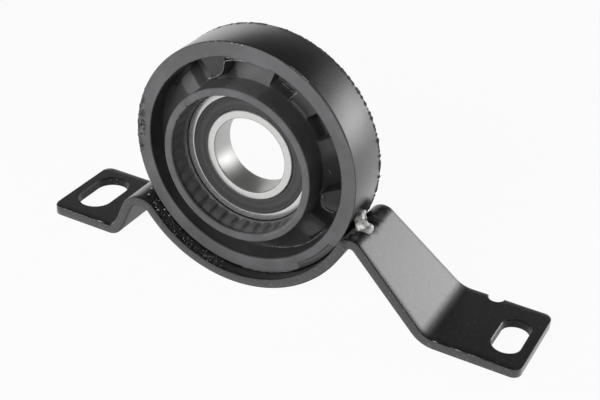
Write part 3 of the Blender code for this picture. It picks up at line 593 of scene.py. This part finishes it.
def stop_rows(stop):
    """The wedge's outline at several depths, from its face back into the web."""
    along = np.concatenate([np.linspace(0.0482, 0.0392, 28), np.linspace(0.0391, STOP_TIP, 8)])
    sides = []
    for key in ("high", "low"):
        half = np.interp(along, stop["out"][::-1], stop[key][::-1])
        half = half * np.clip((along - STOP_TIP) / 0.0009, 0, 1) ** 0.5
        sides.append(half)
    out = np.concatenate([along, along[::-1][1:]])
    across = np.concatenate([sides[0], -sides[1][::-1][1:]])
    turn = math.radians(stop["angle"])
    wave = ripple(out * 2600 + np.sign(across) * 2, stop["seed"], (1, 1.9, 3.3), 0.00016)
    flash = ease(0.0408 - out, 0.004) + ease(-across, 0.001) * ease(0.0465 - out, 0.003)
    rows = []
    for depth, grow, lip in STOP_LEVELS:
        ragged = wave * (1.0 if depth < 0.001 else 0.3)
        wide = np.maximum(np.abs(across) + grow + ragged, 0.00005) * np.sign(across)
        far = np.where(out < 0.0392, out - grow, out)
        lip = lip * np.minimum(flash, 1) * (0.6 + 0.4 * np.sin(out * 9000 + across * 5000))
        place = from_shaft(far * math.cos(turn) - wide * math.sin(turn), stop["face"] + depth - lip,
                           far * math.sin(turn) + wide * math.cos(turn))
        rows.append(np.stack(place, axis=-1))
    return rows


for stop_name, stop in STOPS.items():
    wedge = new_piece(stop_name, grid_mesh(stop_rows(stop), around=False), rubber, "mount")
    wedge.data.set_sharp_from_angle(angle=math.radians(50))

# Mould flash and painted highlights
# Thin feathers of rubber left where the mould halves met, and torn when the part was pulled out.
# They stand on the edges of the stops, the ramp, the web and the rim; some pale cords and flecks are
# painted highlights where edges catch the light. Each line is a radius and points (across, behind the ring's
# front, up from the shaft) in millimetres.
TOP_FLASH_AND_HIGHLIGHTS = ((0.16, (-9.7, -0.3, 44.6), (-10.0, -0.3, 43.4), (-10.1, -0.2, 41.5), (-10.6, -0.2, 39.6),
              (-12.4, -0.3, 37.5), (-14.2, -0.4, 36.1), (-16.1, -0.3, 35.0), (-17.6, -0.2, 34.5)),
             (0.14, (-9.7, -0.2, 44.5), (-6.3, -0.1, 45.9), (-2.5, -0.1, 46.6), (0.8, 0.0, 46.8)),
             (0.10, (10.1, 13.2, 34.9), (12.4, 12.6, 34.2), (14.6, 12.3, 33.3)),
             (0.10, (12.4, 13.4, 35.0), (14.0, 14.0, 34.4), (16.3, 13.9, 33.1)),
             (0.26, (15.4, 12.0, 33.0), (16.6, 12.4, 32.4)),
             (0.20, (24.3, 0.4, 39.2), (21.9, 2.0, 36.7), (19.7, 4.6, 34.2), (17.6, 7.3, 31.8)))
LOWER_FLASH_AND_HIGHLIGHTS = ((0.10, (39.4, 0.5, -4.4), (38.6, 0.5, -6.1), (38.4, 0.5, -7.9), (39.0, 0.5, -9.4),
                (40.3, 0.5, -10.5), (42.5, 0.5, -11.0), (44.8, 0.5, -11.2)),
               (0.15, (5.1, 11.3, -47.1), (9.4, 11.1, -46.5), (13.4, 10.8, -45.5), (20.7, 10.5, -42.7),
                (26.6, 10.5, -39.3), (29.8, 12.0, -36.8), (32.6, 13.2, -33.4), (35.9, 12.8, -28.8)),
               (0.10, (14.7, -6.2, -30.0), (18.1, -6.2, -27.9), (22.1, -6.2, -25.0), (25.9, -6.2, -20.9),
                (28.6, -6.2, -17.3), (30.7, -6.2, -13.3)),
               (0.09, (37.8, 7.3, 4.1), (38.9, 7.7, 2.1)))
RIM_CRUMBS_AND_GLINTS = ((30.7, -6.2, 13.9), (31.4, -6.2, 12.1), (32.4, -6.2, 9.9), (32.7, -6.2, 8.3),
              (33.5, -6.2, 5.8), (33.6, -6.2, 4.1), (33.5, -6.2, 2.4), (-23.1, -6.2, 21.6),
              (-7.0, -2.4, 35.3), (-4.1, 3.1, 35.8), (14.6, -4.2, 32.9))
FLECK_SIZE = (0.24, 0.10, 0.18)
THREAD_STEP_MM = 0.35
THREAD_SIDES = 5
TORN_MM = 1.111


def threads(lines, seed):
    """Thin ragged cords as one mesh, each a radius and points (across, depth, up) in millimetres."""
    form = bmesh.new()
    for radius, *points in lines:
        path = []
        for first, last in zip(points, points[1:]):
            first, last = Vector(first), Vector(last)
            count = max(1, round((last - first).length / THREAD_STEP_MM))
            path += [first.lerp(last, index / count) for index in range(count)]
        path.append(Vector(points[-1]))
        end = len(path) - 1
        rows = []
        for index, here in enumerate(path):
            ahead = (path[min(index + 1, end)] - path[max(index - 1, 0)]).normalized()
            side = ahead.cross(Vector((0.1, 1.0, 0.2))).normalized()
            swell = radius * min(1.0, 0.8 + 1.1 * noise.noise(here * 1.7 + Vector((seed, 0, 0))))
            swell = max(swell, radius * 0.25) * min(1.0, 0.3 + index / 3, 0.3 + (end - index) / 3)
            row = []
            for turn in np.arange(THREAD_SIDES) * 2 * math.pi / THREAD_SIDES:
                spot = here + swell * (side * math.cos(turn) + ahead.cross(side) * math.sin(turn))
                row.append(from_shaft(spot.x / 1000, spot.y / 1000, spot.z / 1000))
            rows.append(row)
        cord = grid_mesh(rows, around=False)
        form.from_mesh(cord)
        bpy.data.meshes.remove(cord)
    mesh = bpy.data.meshes.new("shape")
    form.to_mesh(mesh)
    form.free()
    return mesh


def lumps(places, rounds=2):
    """Round lumps at (across, depth, up, half sizes) in millimetres from the shaft, as one mesh."""
    form = bmesh.new()
    for x, y, z, *sizes in places:
        sizes = sizes * 3 if len(sizes) == 1 else sizes
        place = Matrix.Translation(from_shaft(x / 1000, y / 1000, z / 1000))
        place = place @ Matrix.Diagonal([size / 1000 for size in sizes] + [1])
        bmesh.ops.create_icosphere(form, subdivisions=rounds, radius=1.0, matrix=place)
    mesh = bpy.data.meshes.new("shape")
    form.to_mesh(mesh)
    form.free()
    return mesh


# Pale flash rubber: paler than the moulded skin, partly as a fresh tear is rough and scatters the
# light and partly as painted highlight. Its light and dark change about every millimetre along a feather.
flash_and_highlight_rubber, shader = new_material("flash_and_painted_highlight", 0.5)
place = add_node(flash_and_highlight_rubber, "TexCoord").outputs["Object"]
cloud = add_node(flash_and_highlight_rubber, "TexNoise", {"Scale": 1000 / TORN_MM, "Detail": 3.0}, {"Vector": place})
tone = add_node(flash_and_highlight_rubber, "ValToRGB", {"ramp": ((0.35, "#5e5e5f"), (0.65, "#bcbcbd"))}, {"Fac": cloud})
join(flash_and_highlight_rubber, shader, {"Base Color": tone})
# Partly real flash and crumbs, partly painted highlights drawn as pale cords and flecks on lit edges and the
# rim.
new_piece("flash_and_highlight_lines", threads(TOP_FLASH_AND_HIGHLIGHTS + LOWER_FLASH_AND_HIGHLIGHTS, 3), flash_and_highlight_rubber, "mount")
flecks_and_glints = lumps([(*spot, *FLECK_SIZE) for spot in RIM_CRUMBS_AND_GLINTS], 1)
new_piece("crumbs_and_highlight_flecks", flecks_and_glints, flash_and_highlight_rubber, "mount")

# Outer ring
# A strip of 3 mm steel rolled into a ring and closed by a weld, then painted satin black. The
# rubber's skin laps its two ends, so only its band and a thin bright corner are bare.
RING_BORE = 0.0513
RING_STEPS = 720
RING_EDGE = 0.0004
RIGHT_SLOT = (0.1248, 0.0150)
LEFT_SLOT = (-0.0873, 0.0171)
SLOT_WALLS = (0.0528, 0.0532)
BURN_PLACE = (0.0536, 0.0100, -0.0170)
BURN_REACH = (0.0078, 0.0160, 0.0086)
PAINT_CLOUD_MM = 16.67
SOOT_MM = 3.03
DUST_MM = 0.6667
PEEL_MM = 0.9091
PAINT_COAT = 0.8
PAINT_GLOSS = 0.5

# Satin black paint: a thin clear-looking skin over black, which mirrors a pale wall softly and
# shows dust and a fine orange peel. The peel's waves are near 1 mm, as on real sprayed paint, and
# dust shows only at the peaks of its pattern, as specks of about 0.2 mm. By the right weld the
# heat has burnt it to grey and black soot in patches of 3 mm, which is dull, and it is thin and
# dull on undersides and in the slots.
paint, shader = new_material("satin_black_paint", 0.34)
shader.inputs["IOR"].default_value = 1.6
shader.inputs["Coat Roughness"].default_value = 0.28
place = add_node(paint, "TexCoord").outputs["Object"]
cloud = add_node(paint, "TexNoise", {"Scale": 1000 / PAINT_CLOUD_MM, "Detail": 6.0}, {"Vector": place})
clean = add_node(paint, "ValToRGB", {"ramp": ((0.3, "#141415"), (0.75, "#1e1e1f"))}, {"Fac": cloud})
away = distance_from(paint, place, from_shaft(*BURN_PLACE), BURN_REACH)
patchy = add_node(paint, "TexNoise", {"Scale": 1000 / SOOT_MM, "Detail": 4.0}, {"Vector": place})
ragged_away = add_node(paint, "Math", {"operation": "MULTIPLY_ADD", 1: 0.5}, {0: patchy, 2: away})
burnt = add_node(paint, "MapRange", {"From Min": 1.45, "From Max": 1.05}, {"Value": ragged_away})
soot = add_node(paint, "ValToRGB", {"ramp": ((0.48, "#0a0a0a"), (0.64, "#676765"))}, {"Fac": patchy})
facing = add_node(paint, "NewGeometry").outputs["Normal"]
facing_up = add_node(paint, "SeparateXYZ", {}, {0: facing}).outputs["Z"]
underside = add_node(paint, "MapRange", {"From Min": -0.12, "From Max": -0.35}, {"Value": facing_up})
dull = add_node(paint, "Math", {"operation": "MAXIMUM"}, {0: burnt, 1: underside})
height = add_node(paint, "SeparateXYZ", {}, {0: place}).outputs["Z"]
below_face = add_node(paint, "MapRange", {"From Min": SHAFT_Z - SLOT_WALLS[0],
                                                  "From Max": SHAFT_Z - SLOT_WALLS[1]}, {"Value": height})
for (across, along), (wide, long) in ((RIGHT_SLOT, (0.0085, 0.0145)), (LEFT_SLOT, (0.0100, 0.0165))):
    away = distance_from(paint, place, from_shaft(across, along, 0), (wide, long, 1000))
    in_slot = add_node(paint, "MapRange", {"From Min": 1.05, "From Max": 1.0}, {"Value": away})
    slot_wall = add_node(paint, "Math", {"operation": "MULTIPLY"}, {0: in_slot, 1: below_face})
    dull = add_node(paint, "Math", {"operation": "MAXIMUM"}, {0: dull, 1: slot_wall})
coat = add_node(paint, "Math", {"operation": "MULTIPLY_ADD", 1: -PAINT_COAT, 2: PAINT_COAT}, {0: dull})
gloss = add_node(paint, "Math", {"operation": "MULTIPLY_ADD", 1: -0.35, 2: PAINT_GLOSS}, {0: dull})
dust = add_node(paint, "TexNoise", {"Scale": 1000 / DUST_MM, "Detail": 1.0}, {"Vector": place})
speck = add_node(paint, "MapRange", {"From Min": 0.66, "From Max": 0.76}, {"Value": dust})
dusty = add_node(paint, "Mix", {"data_type": "RGBA", 7: (*srgb("#6e6e6d"), 1)}, {0: speck, 6: clean})
tone = add_node(paint, "Mix", {"data_type": "RGBA"}, {0: burnt, 6: dusty.outputs[2], 7: soot})
peel = add_node(paint, "TexNoise", {"Scale": 1000 / PEEL_MM, "Detail": 2.0}, {"Vector": place})
skin = add_node(paint, "Bump", {"Strength": 0.5, "Distance": 0.00012}, {"Height": peel})
join(paint, shader, {"Base Color": tone.outputs[2], "Coat Weight": coat, "Specular IOR Level": gloss,
                     "Normal": skin})

ring_profile = rolled([(RING_BORE, 0.0), (RING_RADIUS, 0.0), (RING_RADIUS, RING_WIDTH),
                       (RING_BORE, RING_WIDTH)], RING_EDGE, 4)
new_piece("rolled_ring", turned(ring_profile, RING_STEPS), paint, "mount", "outer_ring")

# Strap bracket
# One strip of 4.5 mm steel, sheared, bent round the ring and down to two feet, slotted, and
# painted with the ring. Its sheared edges are rounded, and chipped where it has been handled.
STRAP_THICKNESS = 0.0045
STRAP_FRONT = -0.0063
STRAP_WIDTH = 0.0345
FOOT_WIDTH = 0.0448
FOOT_DROP = 0.0526
FOOT_CORNER = 0.0040
CORNER_STEPS = 8
SHEARED_EDGE = 0.0006
WIDTH_STEPS = 16
POINT_GAP = 0.0016
SLOT_FLARE = 0.0005
FOOT_NOTCH = (0.1095, 0.0385)
RIGHT_SIDE = {"leaves": 23.1, "hump": 0.00675, "slope": 45.5, "bend": 0.0125, "reach": 0.1358}
LEFT_SIDE = {"leaves": 40.6, "hump": 0.0106, "slope": 67.0, "bend": 0.0060, "reach": 0.1002}
STRAP_SEAT = RING_RADIUS + 0.0003


def arc_points(center, radius, start, end, step):
    """Points and headings round a centre; a falling angle turns right."""
    count = max(2, math.ceil(abs(end - start) / step))
    turn = 90 if end > start else -90
    points = []
    for index in range(count + 1):
        angle = start + (end - start) * index / count
        points.append((center[0] + radius * math.cos(math.radians(angle)),
                       center[1] + radius * math.sin(math.radians(angle)), angle + turn))
    return points


def straight_points(first, last, step):
    """Points between two others, with the heading of the line, leaving both ends out."""
    gap = math.hypot(last[0] - first[0], last[1] - first[1])
    count = max(1, round(gap / step))
    heading = math.degrees(math.atan2(last[1] - first[1], last[0] - first[0]))
    return [(first[0] + (last[0] - first[0]) * index / count, first[1] + (last[1] - first[1]) * index / count,
             heading) for index in range(1, count)]


def strap_side(side):
    """The middle line of one leg, drawn on the +X side, as (x, z, heading, back, inset)."""
    middle = side["hump"] - STRAP_THICKNESS / 2
    leaves, slope = math.radians(side["leaves"]), math.radians(side["slope"])
    hump = ((STRAP_SEAT + side["hump"]) * math.cos(leaves), -(STRAP_SEAT + side["hump"]) * math.sin(leaves))
    foot_z = -FOOT_DROP - STRAP_THICKNESS / 2
    top = (hump[0] + middle * math.sin(slope), hump[1] + middle * math.cos(slope))
    corner_x = top[0] + (top[1] - foot_z) / math.tan(slope)
    bend = (corner_x + side["bend"] * math.tan(slope / 2), foot_z + side["bend"])
    line = arc_points(hump, middle, 180 - side["leaves"], 90 - side["slope"], 4.0)
    hump_count = len(line)
    curve = arc_points(bend, side["bend"], -90 - side["slope"], -90, 3.0)
    line += straight_points(line[-1], curve[0], POINT_GAP) + curve
    flat_end = (side["reach"] - FOOT_CORNER, foot_z)
    line += straight_points(curve[-1], flat_end, POINT_GAP)
    leg_top = line[hump_count - 1][1]
    band_back, foot_back = STRAP_FRONT + STRAP_WIDTH, STRAP_FRONT + FOOT_WIDTH
    stations = []
    for x, z, heading in line:
        share = min(1.0, max(0.0, (leg_top - z) / (leg_top - foot_z)))
        stations.append((x, z, heading, band_back + (foot_back - band_back) * share, 0.0))
    for index in range(CORNER_STEPS + 1):
        distance = FOOT_CORNER * (1 - math.cos(math.radians(90 - 90 * index / CORNER_STEPS)))
        inset = FOOT_CORNER - math.sqrt(FOOT_CORNER ** 2 - (FOOT_CORNER - distance) ** 2)
        stations.append((side["reach"] - distance, foot_z, 0.0, foot_back, inset))
    return stations


def strap_section(back, inset):
    """The strip's section as (along Y, through) points, with the sheared edges rounded."""
    front, back = STRAP_FRONT + inset, back - inset
    half = STRAP_THICKNESS / 2
    corners = [(front, half, 1, -1, 90), (front, -half, 1, 1, 180), (back, -half, -1, 1, 270),
               (back, half, -1, -1, 0)]
    points = []
    for index, (y, through, side_y, side_t, start) in enumerate(corners):
        for step in range(4):
            angle = math.radians(start + 30 * step)
            points.append((y + side_y * SHEARED_EDGE + SHEARED_EDGE * math.cos(angle),
                           through + side_t * SHEARED_EDGE + SHEARED_EDGE * math.sin(angle)))
        if index in (1, 3):
            other = corners[(index + 1) % 4]
            run_from, run_to = y + side_y * SHEARED_EDGE, other[0] + other[2] * SHEARED_EDGE
            for step in range(1, WIDTH_STEPS):
                points.append((run_from + (run_to - run_from) * step / WIDTH_STEPS, through))
    return points


def strap_rows():
    """Every section of the strip, from the left foot's end to the right foot's end."""
    right = strap_side(RIGHT_SIDE)
    left = [(-x, z, -heading, back, inset) for x, z, heading, back, inset in reversed(strap_side(LEFT_SIDE))]
    belly = arc_points((0, 0), STRAP_SEAT + STRAP_THICKNESS / 2, -180 + LEFT_SIDE["leaves"],
                       -RIGHT_SIDE["leaves"], 1.5)
    belly = [(x, z, heading, STRAP_FRONT + STRAP_WIDTH, 0.0) for x, z, heading in belly[1:-1]]
    rows = []
    for x, z, heading, back, inset in left + belly + right:
        normal = (math.cos(math.radians(heading + 90)), math.sin(math.radians(heading + 90)))
        rows.append([from_shaft(x + normal[0] * through, along, z + normal[1] * through)
                     for along, through in strap_section(back, inset)])
    return rows


def slot_tool(middle, width, length):
    """An upright tool for a slot that runs along Y, a little wider at the foot's two faces."""
    half = (length - width) / 2
    top, bottom = SHAFT_Z - FOOT_DROP, SHAFT_Z - FOOT_DROP - STRAP_THICKNESS
    levels = [(bottom - 0.002, SLOT_FLARE + 0.002), (bottom, SLOT_FLARE), (bottom + SLOT_FLARE, 0),
              (top - SLOT_FLARE, 0), (top, SLOT_FLARE), (top + 0.002, SLOT_FLARE + 0.002)]
    rows = []
    for height, grow in levels:
        row = []
        for side, start in ((1, 0), (-1, 180)):
            for index in range(25):
                angle = math.radians(start + 7.5 * index)
                radius = width / 2 + grow
                row.append((SHAFT_X + middle[0] + radius * math.cos(angle),
                            RING_FRONT + middle[1] + side * half + radius * math.sin(angle), height))
        rows.append(row)
    return grid_mesh(rows, around=False)


def cut(piece, tool_mesh):
    """Cuts a mesh out of a piece and keeps the result."""
    tool = bpy.data.objects.new("tool", tool_mesh)
    bpy.context.scene.collection.objects.link(tool)
    step = piece.modifiers.new("cut", "BOOLEAN")
    step.operation = "DIFFERENCE"
    step.object = tool
    step.solver = "EXACT"
    evaluated = piece.evaluated_get(bpy.context.evaluated_depsgraph_get())
    result = bpy.data.meshes.new_from_object(evaluated)
    piece.modifiers.clear()
    piece.data = result
    bpy.data.objects.remove(tool, do_unlink=True)


strap = new_piece("bent_strap", grid_mesh(strap_rows(), around=False), paint, "mount", "bracket_strap")
for middle, width, length in ((RIGHT_SLOT, 0.0125, 0.0246), (LEFT_SLOT, 0.0160, 0.0290),
                              (FOOT_NOTCH, 0.0070, 0.00702)):
    cut(strap, slot_tool(middle, width, length))
strap.data.shade_smooth()
strap.data.set_sharp_from_angle(angle=math.radians(40))

# Welds and spatter
# Two runs of weld metal join ring and strap in the valleys. The right one was laid by hand over
# the paint: it hooks from the hump to the ring, stays bright, and has spat beads round it.
RIGHT_RUN = ((58.7, 5.9, -17.0, 2.6), (57.2, 5.6, -16.7, 2.8), (56.2, 5.2, -16.6, 2.8),
             (55.4, 5.2, -16.1, 2.5), (54.8, 5.8, -15.4, 2.0), (53.9, 7.0, -14.7, 2.4),
             (53.3, 8.2, -14.4, 2.5), (52.9, 9.6, -14.5, 2.1), (53.0, 11.0, -14.4, 1.9),
             (53.2, 12.3, -14.2, 1.5), (57.0, 4.7, -15.4, 2.4), (53.2, 9.5, -17.8, 1.6),
             (53.2, 13.5, -17.6, 1.6))
LEFT_RUN = tuple((-46.2 - 0.3 * (index % 2), 7.5 + 1.9 * index, -33.6 + 0.4 * (index % 3),
                  2.9 - 0.35 * (index % 2)) for index in range(6))
WELD_VOXEL = 0.0003
WELD_ROUGHNESS = 0.00045
SCALE_MM = 2.857
# Spat beads: degrees round the shaft, depth and size in millimetres. The big ones are placed as
# in the photograph, and two showers of small ones are drawn.
BIG_BEADS = [(-148.7, -0.9, 0.5), (-147.1, -4.4, 0.45), (-136.7, -0.9, 0.4), (-132.9, -0.8, 0.35),
             (-141.3, -3.3, 0.3), (-138.4, -4.3, 0.4), (-140.0, -4.6, 0.3), (-142.4, -3.9, 0.25)]
SHOWERS = ((110, -130, 14, -6.0, 0.15), (60, -103, 6, -6.1, 0.17))


def fused(piece):
    """Melts a piece's lumps into one skin and roughens it, as weld metal freezes."""
    step = piece.modifiers.new("fused", "REMESH")
    step.mode = "VOXEL"
    step.voxel_size = WELD_VOXEL
    mesh = bpy.data.meshes.new_from_object(piece.evaluated_get(bpy.context.evaluated_depsgraph_get()))
    piece.modifiers.clear()
    piece.data = mesh
    for vertex in mesh.vertices:
        place = vertex.co * 1000
        swell = noise.noise(place * 0.4) + 0.25 * noise.noise(place * 1.0 + Vector((7, 3, 1)))
        vertex.co = vertex.co + vertex.normal * WELD_ROUGHNESS * swell
    mesh.shade_smooth()


# Weld metal: bright and uneven, darker where scale stayed on it, with pits that break its shine.
# The patches of scale are about 3 mm wide.
weld_metal, shader = new_material("bright_weld_metal", 0.5, 0.45)
place = add_node(weld_metal, "TexCoord").outputs["Object"]
cloud = add_node(weld_metal, "TexNoise", {"Scale": 1000 / SCALE_MM, "Detail": 4.0}, {"Vector": place})
tone = add_node(weld_metal, "ValToRGB", {"ramp": ((0.32, "#868684"), (0.55, "#f0f0ed"))}, {"Fac": cloud})
pitting = add_node(weld_metal, "Bump", {"Strength": 0.5, "Distance": 0.0002}, {"Height": cloud})
join(weld_metal, shader, {"Base Color": tone, "Normal": pitting})

for side_name, run in (("right", RIGHT_RUN), ("left", LEFT_RUN)):
    fused(new_piece("weld_run_" + side_name, lumps(run), weld_metal, "mount", "weld_bead_" + side_name))

draw = np.random.default_rng(12)
spots = list(BIG_BEADS)
for count, middle, spread, deepest, biggest in SHOWERS:
    spots += [(draw.normal(middle, spread), draw.uniform(deepest, -0.2), draw.uniform(0.05, biggest))
              for _ in range(count)]
beads = []
for degrees, depth, size in spots:
    if -147.5 < degrees < -60 or size > 0.3:
        turn = math.radians(degrees)
        radius = (STRAP_SEAT * 1000) - 0.3 * size
        beads.append((radius * math.cos(turn), depth, radius * math.sin(turn), size * 1.3, size, size * 0.8))
new_piece("weld_spatter", lumps(beads, 1), weld_metal, "mount")

# Chips, bare edges and painted highlights
# Places where handling has knocked the paint off the corners of the strap, the feet and the ring,
# down to bare steel. They are specks and thin bright lines, and the lines are partly wear and partly painted
# highlights.
EDGE_WEAR_AND_HIGHLIGHTS = ((0.11, (-98.0, -6.1, -52.7), (-90.9, -6.15, -52.7), (-83.8, -6.15, -52.7), (-77.9, -6.15, -52.7),
              (-74.4, -6.15, -52.7)),
             (0.30, (-74.6, -5.95, -52.6), (-72.6, -5.95, -52.6), (-70.6, -5.95, -52.4)),
             (0.24, (97.4, -6.0, -52.7), (99.8, -6.0, -52.7)),
             (0.15, (105.7, -6.1, -52.75), (108.4, -6.1, -52.75), (111.5, -6.1, -52.75)),
             (0.11, (113.0, -6.15, -52.75), (119.0, -6.15, -52.75)),
             (0.12, (50.6, -6.1, -22.4), (51.8, -6.1, -20.4), (54.0, -6.1, -18.4), (56.9, -5.9, -17.5)),
             (0.11, (20.8, 0.2, 50.2), (23.8, 0.2, 48.9), (26.7, 0.1, 47.3), (29.6, 0.1, 45.5)),
             (0.13, (51.8, 6.1, -19.0), (53.6, 3.2, -18.2), (55.4, 0.6, -17.4)))
CHIPS = ((-17.5, -0.2, 51.1, 0.62), (-14.2, -0.1, 52.2, 0.48), (-11.2, -0.2, 52.8, 0.42),
         (-6.5, -0.2, 53.5, 0.55), (-4.1, -0.2, 53.7, 0.40), (-1.7, -0.2, 53.8, 0.44),
         (5.3, -0.2, 53.6, 0.52), (108.4, 16.0, -52.6, 0.22), (103.7, 4.8, -52.6, 0.20),
         (130.3, 0.2, -52.6, 0.24), (127.3, -2.4, -52.6, 0.18), (125.6, -4.9, -52.6, 0.26),
         (135.3, 25.4, -52.8, 0.34), (134.9, -0.9, -52.7, 0.36), (134.9, 1.4, -52.7, 0.26))
RIM_THREAD = 0.09
RUST_MM = 1.111


def rim_line(radius, depth, first, last):
    """A thread's radius and points along a circle round the shaft, between two angles in degrees."""
    turns = np.radians(np.arange(first, last, 1.5))
    return (RIM_THREAD, *((radius * math.cos(turn), depth, radius * math.sin(turn)) for turn in turns))


# Bare steel, which also draws the painted edge highlights: a dull shine where the paint is gone,
# darker where grime and the first rust have settled, in patches about a millimetre wide, so that a chip
# glints in places only.
bare_steel_and_highlights, shader = new_material("chips_and_painted_highlights", 0.4, 0.4)
place = add_node(bare_steel_and_highlights, "TexCoord").outputs["Object"]
cloud = add_node(bare_steel_and_highlights, "TexNoise", {"Scale": 1000 / RUST_MM, "Detail": 3.0}, {"Vector": place})
tone = add_node(bare_steel_and_highlights, "ValToRGB", {"ramp": ((0.4, "#6a6a69"), (0.6, "#e0e0de"))}, {"Fac": cloud})
join(bare_steel_and_highlights, shader, {"Base Color": tone})
# The edge lines and the lines round the ring's and strap's corners are partly worn edges and partly painted
# highlights.
worn = list(EDGE_WEAR_AND_HIGHLIGHTS) + [rim_line(54.25, -0.02, -88, -58)]
worn += [rim_line(55.0, -6.17, first, first + 4) for first in (-88, -82.5, -77, -73, -67, -61.5, -55)]
new_piece("edge_wear_and_highlights", threads(worn, 9), bare_steel_and_highlights, "mount")
chips = lumps([(x, y, z, size, size * 0.8, size * 0.4) for x, y, z, size in CHIPS], 1)
new_piece("bare_chips", chips, bare_steel_and_highlights, "mount")

# Floor and light
# A white floor, a pale studio world and six soft boxes. The camera and the gloss see white, and
# the lamps, what the floor sends back of them and a very dim room light the bearing itself.
FLOOR_SIZE = 3.0
FLOOR_GAP = 0.0002
FLOOR_GLOW = 0.95

floor_mesh = bpy.data.meshes.new("floor")
half_floor = FLOOR_SIZE / 2
floor_mesh.from_pydata([(-half_floor, -half_floor, 0), (half_floor, -half_floor, 0),
                        (half_floor, half_floor, 0), (-half_floor, half_floor, 0)], [], [(0, 1, 2, 3)])
floor = bpy.data.objects.new("floor", floor_mesh)
bpy.context.scene.collection.objects.link(floor)
floor.location.z = -FLOOR_GAP
floor_white = bpy.data.materials.new("floor_white")
floor_white.use_nodes = True
floor_white.node_tree.nodes.clear()
lit = add_node(floor_white, "BsdfDiffuse", {"Color": (0.8, 0.8, 0.8, 1)})
glow = add_node(floor_white, "Emission", {"Color": (1, 1, 1, 1), "Strength": 1.0})
rays = add_node(floor_white, "LightPath").outputs
camera_or_gloss = add_node(floor_white, "Math", {"operation": "MAXIMUM"},
                           {0: rays["Is Camera Ray"], 1: rays["Is Glossy Ray"]})
seen = add_node(floor_white, "Math", {"operation": "MAXIMUM"},
                {0: camera_or_gloss, 1: rays["Is Transmission Ray"]})
share = add_node(floor_white, "Math", {"operation": "MULTIPLY", 1: FLOOR_GLOW}, {0: seen})
mixed = add_node(floor_white, "MixShader", {}, {0: share, 1: lit, 2: glow})
add_node(floor_white, "OutputMaterial", {}, {"Surface": mixed})
floor_mesh.materials.append(floor_white)

BACKDROP_TOP = (0.27, 0.37)
CEILING = 0.05
ROOM_LIGHT = 0.01

world = bpy.data.worlds.new("studio")
bpy.context.scene.world = world
world.use_nodes = True
world.node_tree.nodes.clear()
place = add_node(world, "TexCoord").outputs["Generated"]
height = add_node(world, "SeparateXYZ", {}, {0: place}).outputs["Z"]
wall = add_node(world, "MapRange", {"From Min": BACKDROP_TOP[0], "From Max": BACKDROP_TOP[1], "To Min": 1.0,
                                    "To Max": CEILING}, {"Value": height})
rays = add_node(world, "LightPath").outputs
mirror = add_node(world, "Math", {"operation": "MAXIMUM"},
                  {0: rays["Is Glossy Ray"], 1: rays["Is Transmission Ray"]})
shown = add_node(world, "Math", {"operation": "MULTIPLY"}, {0: mirror, 1: wall})
share = add_node(world, "Math", {"operation": "MAXIMUM"}, {0: rays["Is Camera Ray"], 1: shown})
room = add_node(world, "Background", {"Color": (1, 1, 1, 1), "Strength": ROOM_LIGHT})
backdrop = add_node(world, "Background", {"Color": (1, 1, 1, 1), "Strength": 1.0})
blend = add_node(world, "MixShader", {}, {0: share, 1: room, 2: backdrop})
add_node(world, "OutputWorld", {}, {"Surface": blend})

LAMP_DISTANCE = 0.9
LAMP_SIZE = 0.34
# Each box's direction from the bearing, its power in watts, and whether its glints are seen. The
# front boxes leave none, and the three behind draw the bright lines along edges and rims.
SOFT_BOXES = {
    "key_box": ((-0.51, -0.76, 0.41), 2.0, False),
    "front_box": ((-0.18, -0.90, 0.41), 3.6, False),
    "fill_box": ((0.18, -0.90, 0.41), 2.6, False),
    "rim_box_high": ((0.61, 0.76, 0.27), 0.90, True),
    "rim_box_top": ((0.44, 0.77, 0.46), 0.22, True),
    "rim_box_low": ((0.71, 0.71, 0.07), 0.62, True),
}

for lamp_name, (towards, power, glints) in SOFT_BOXES.items():
    lamp = bpy.data.lights.new(lamp_name, "AREA")
    lamp.size = LAMP_SIZE
    lamp.energy = power
    holder = bpy.data.objects.new(lamp_name, lamp)
    bpy.context.scene.collection.objects.link(holder)
    direction = Vector(towards).normalized()
    holder.location = Vector(from_shaft(0, 0, 0)) + direction * LAMP_DISTANCE
    holder.rotation_mode = "QUATERNION"
    holder.rotation_quaternion = direction.to_track_quat("Z", "Y")
    holder.visible_glossy = glints
bpy.context.scene.view_settings.view_transform = "Standard"
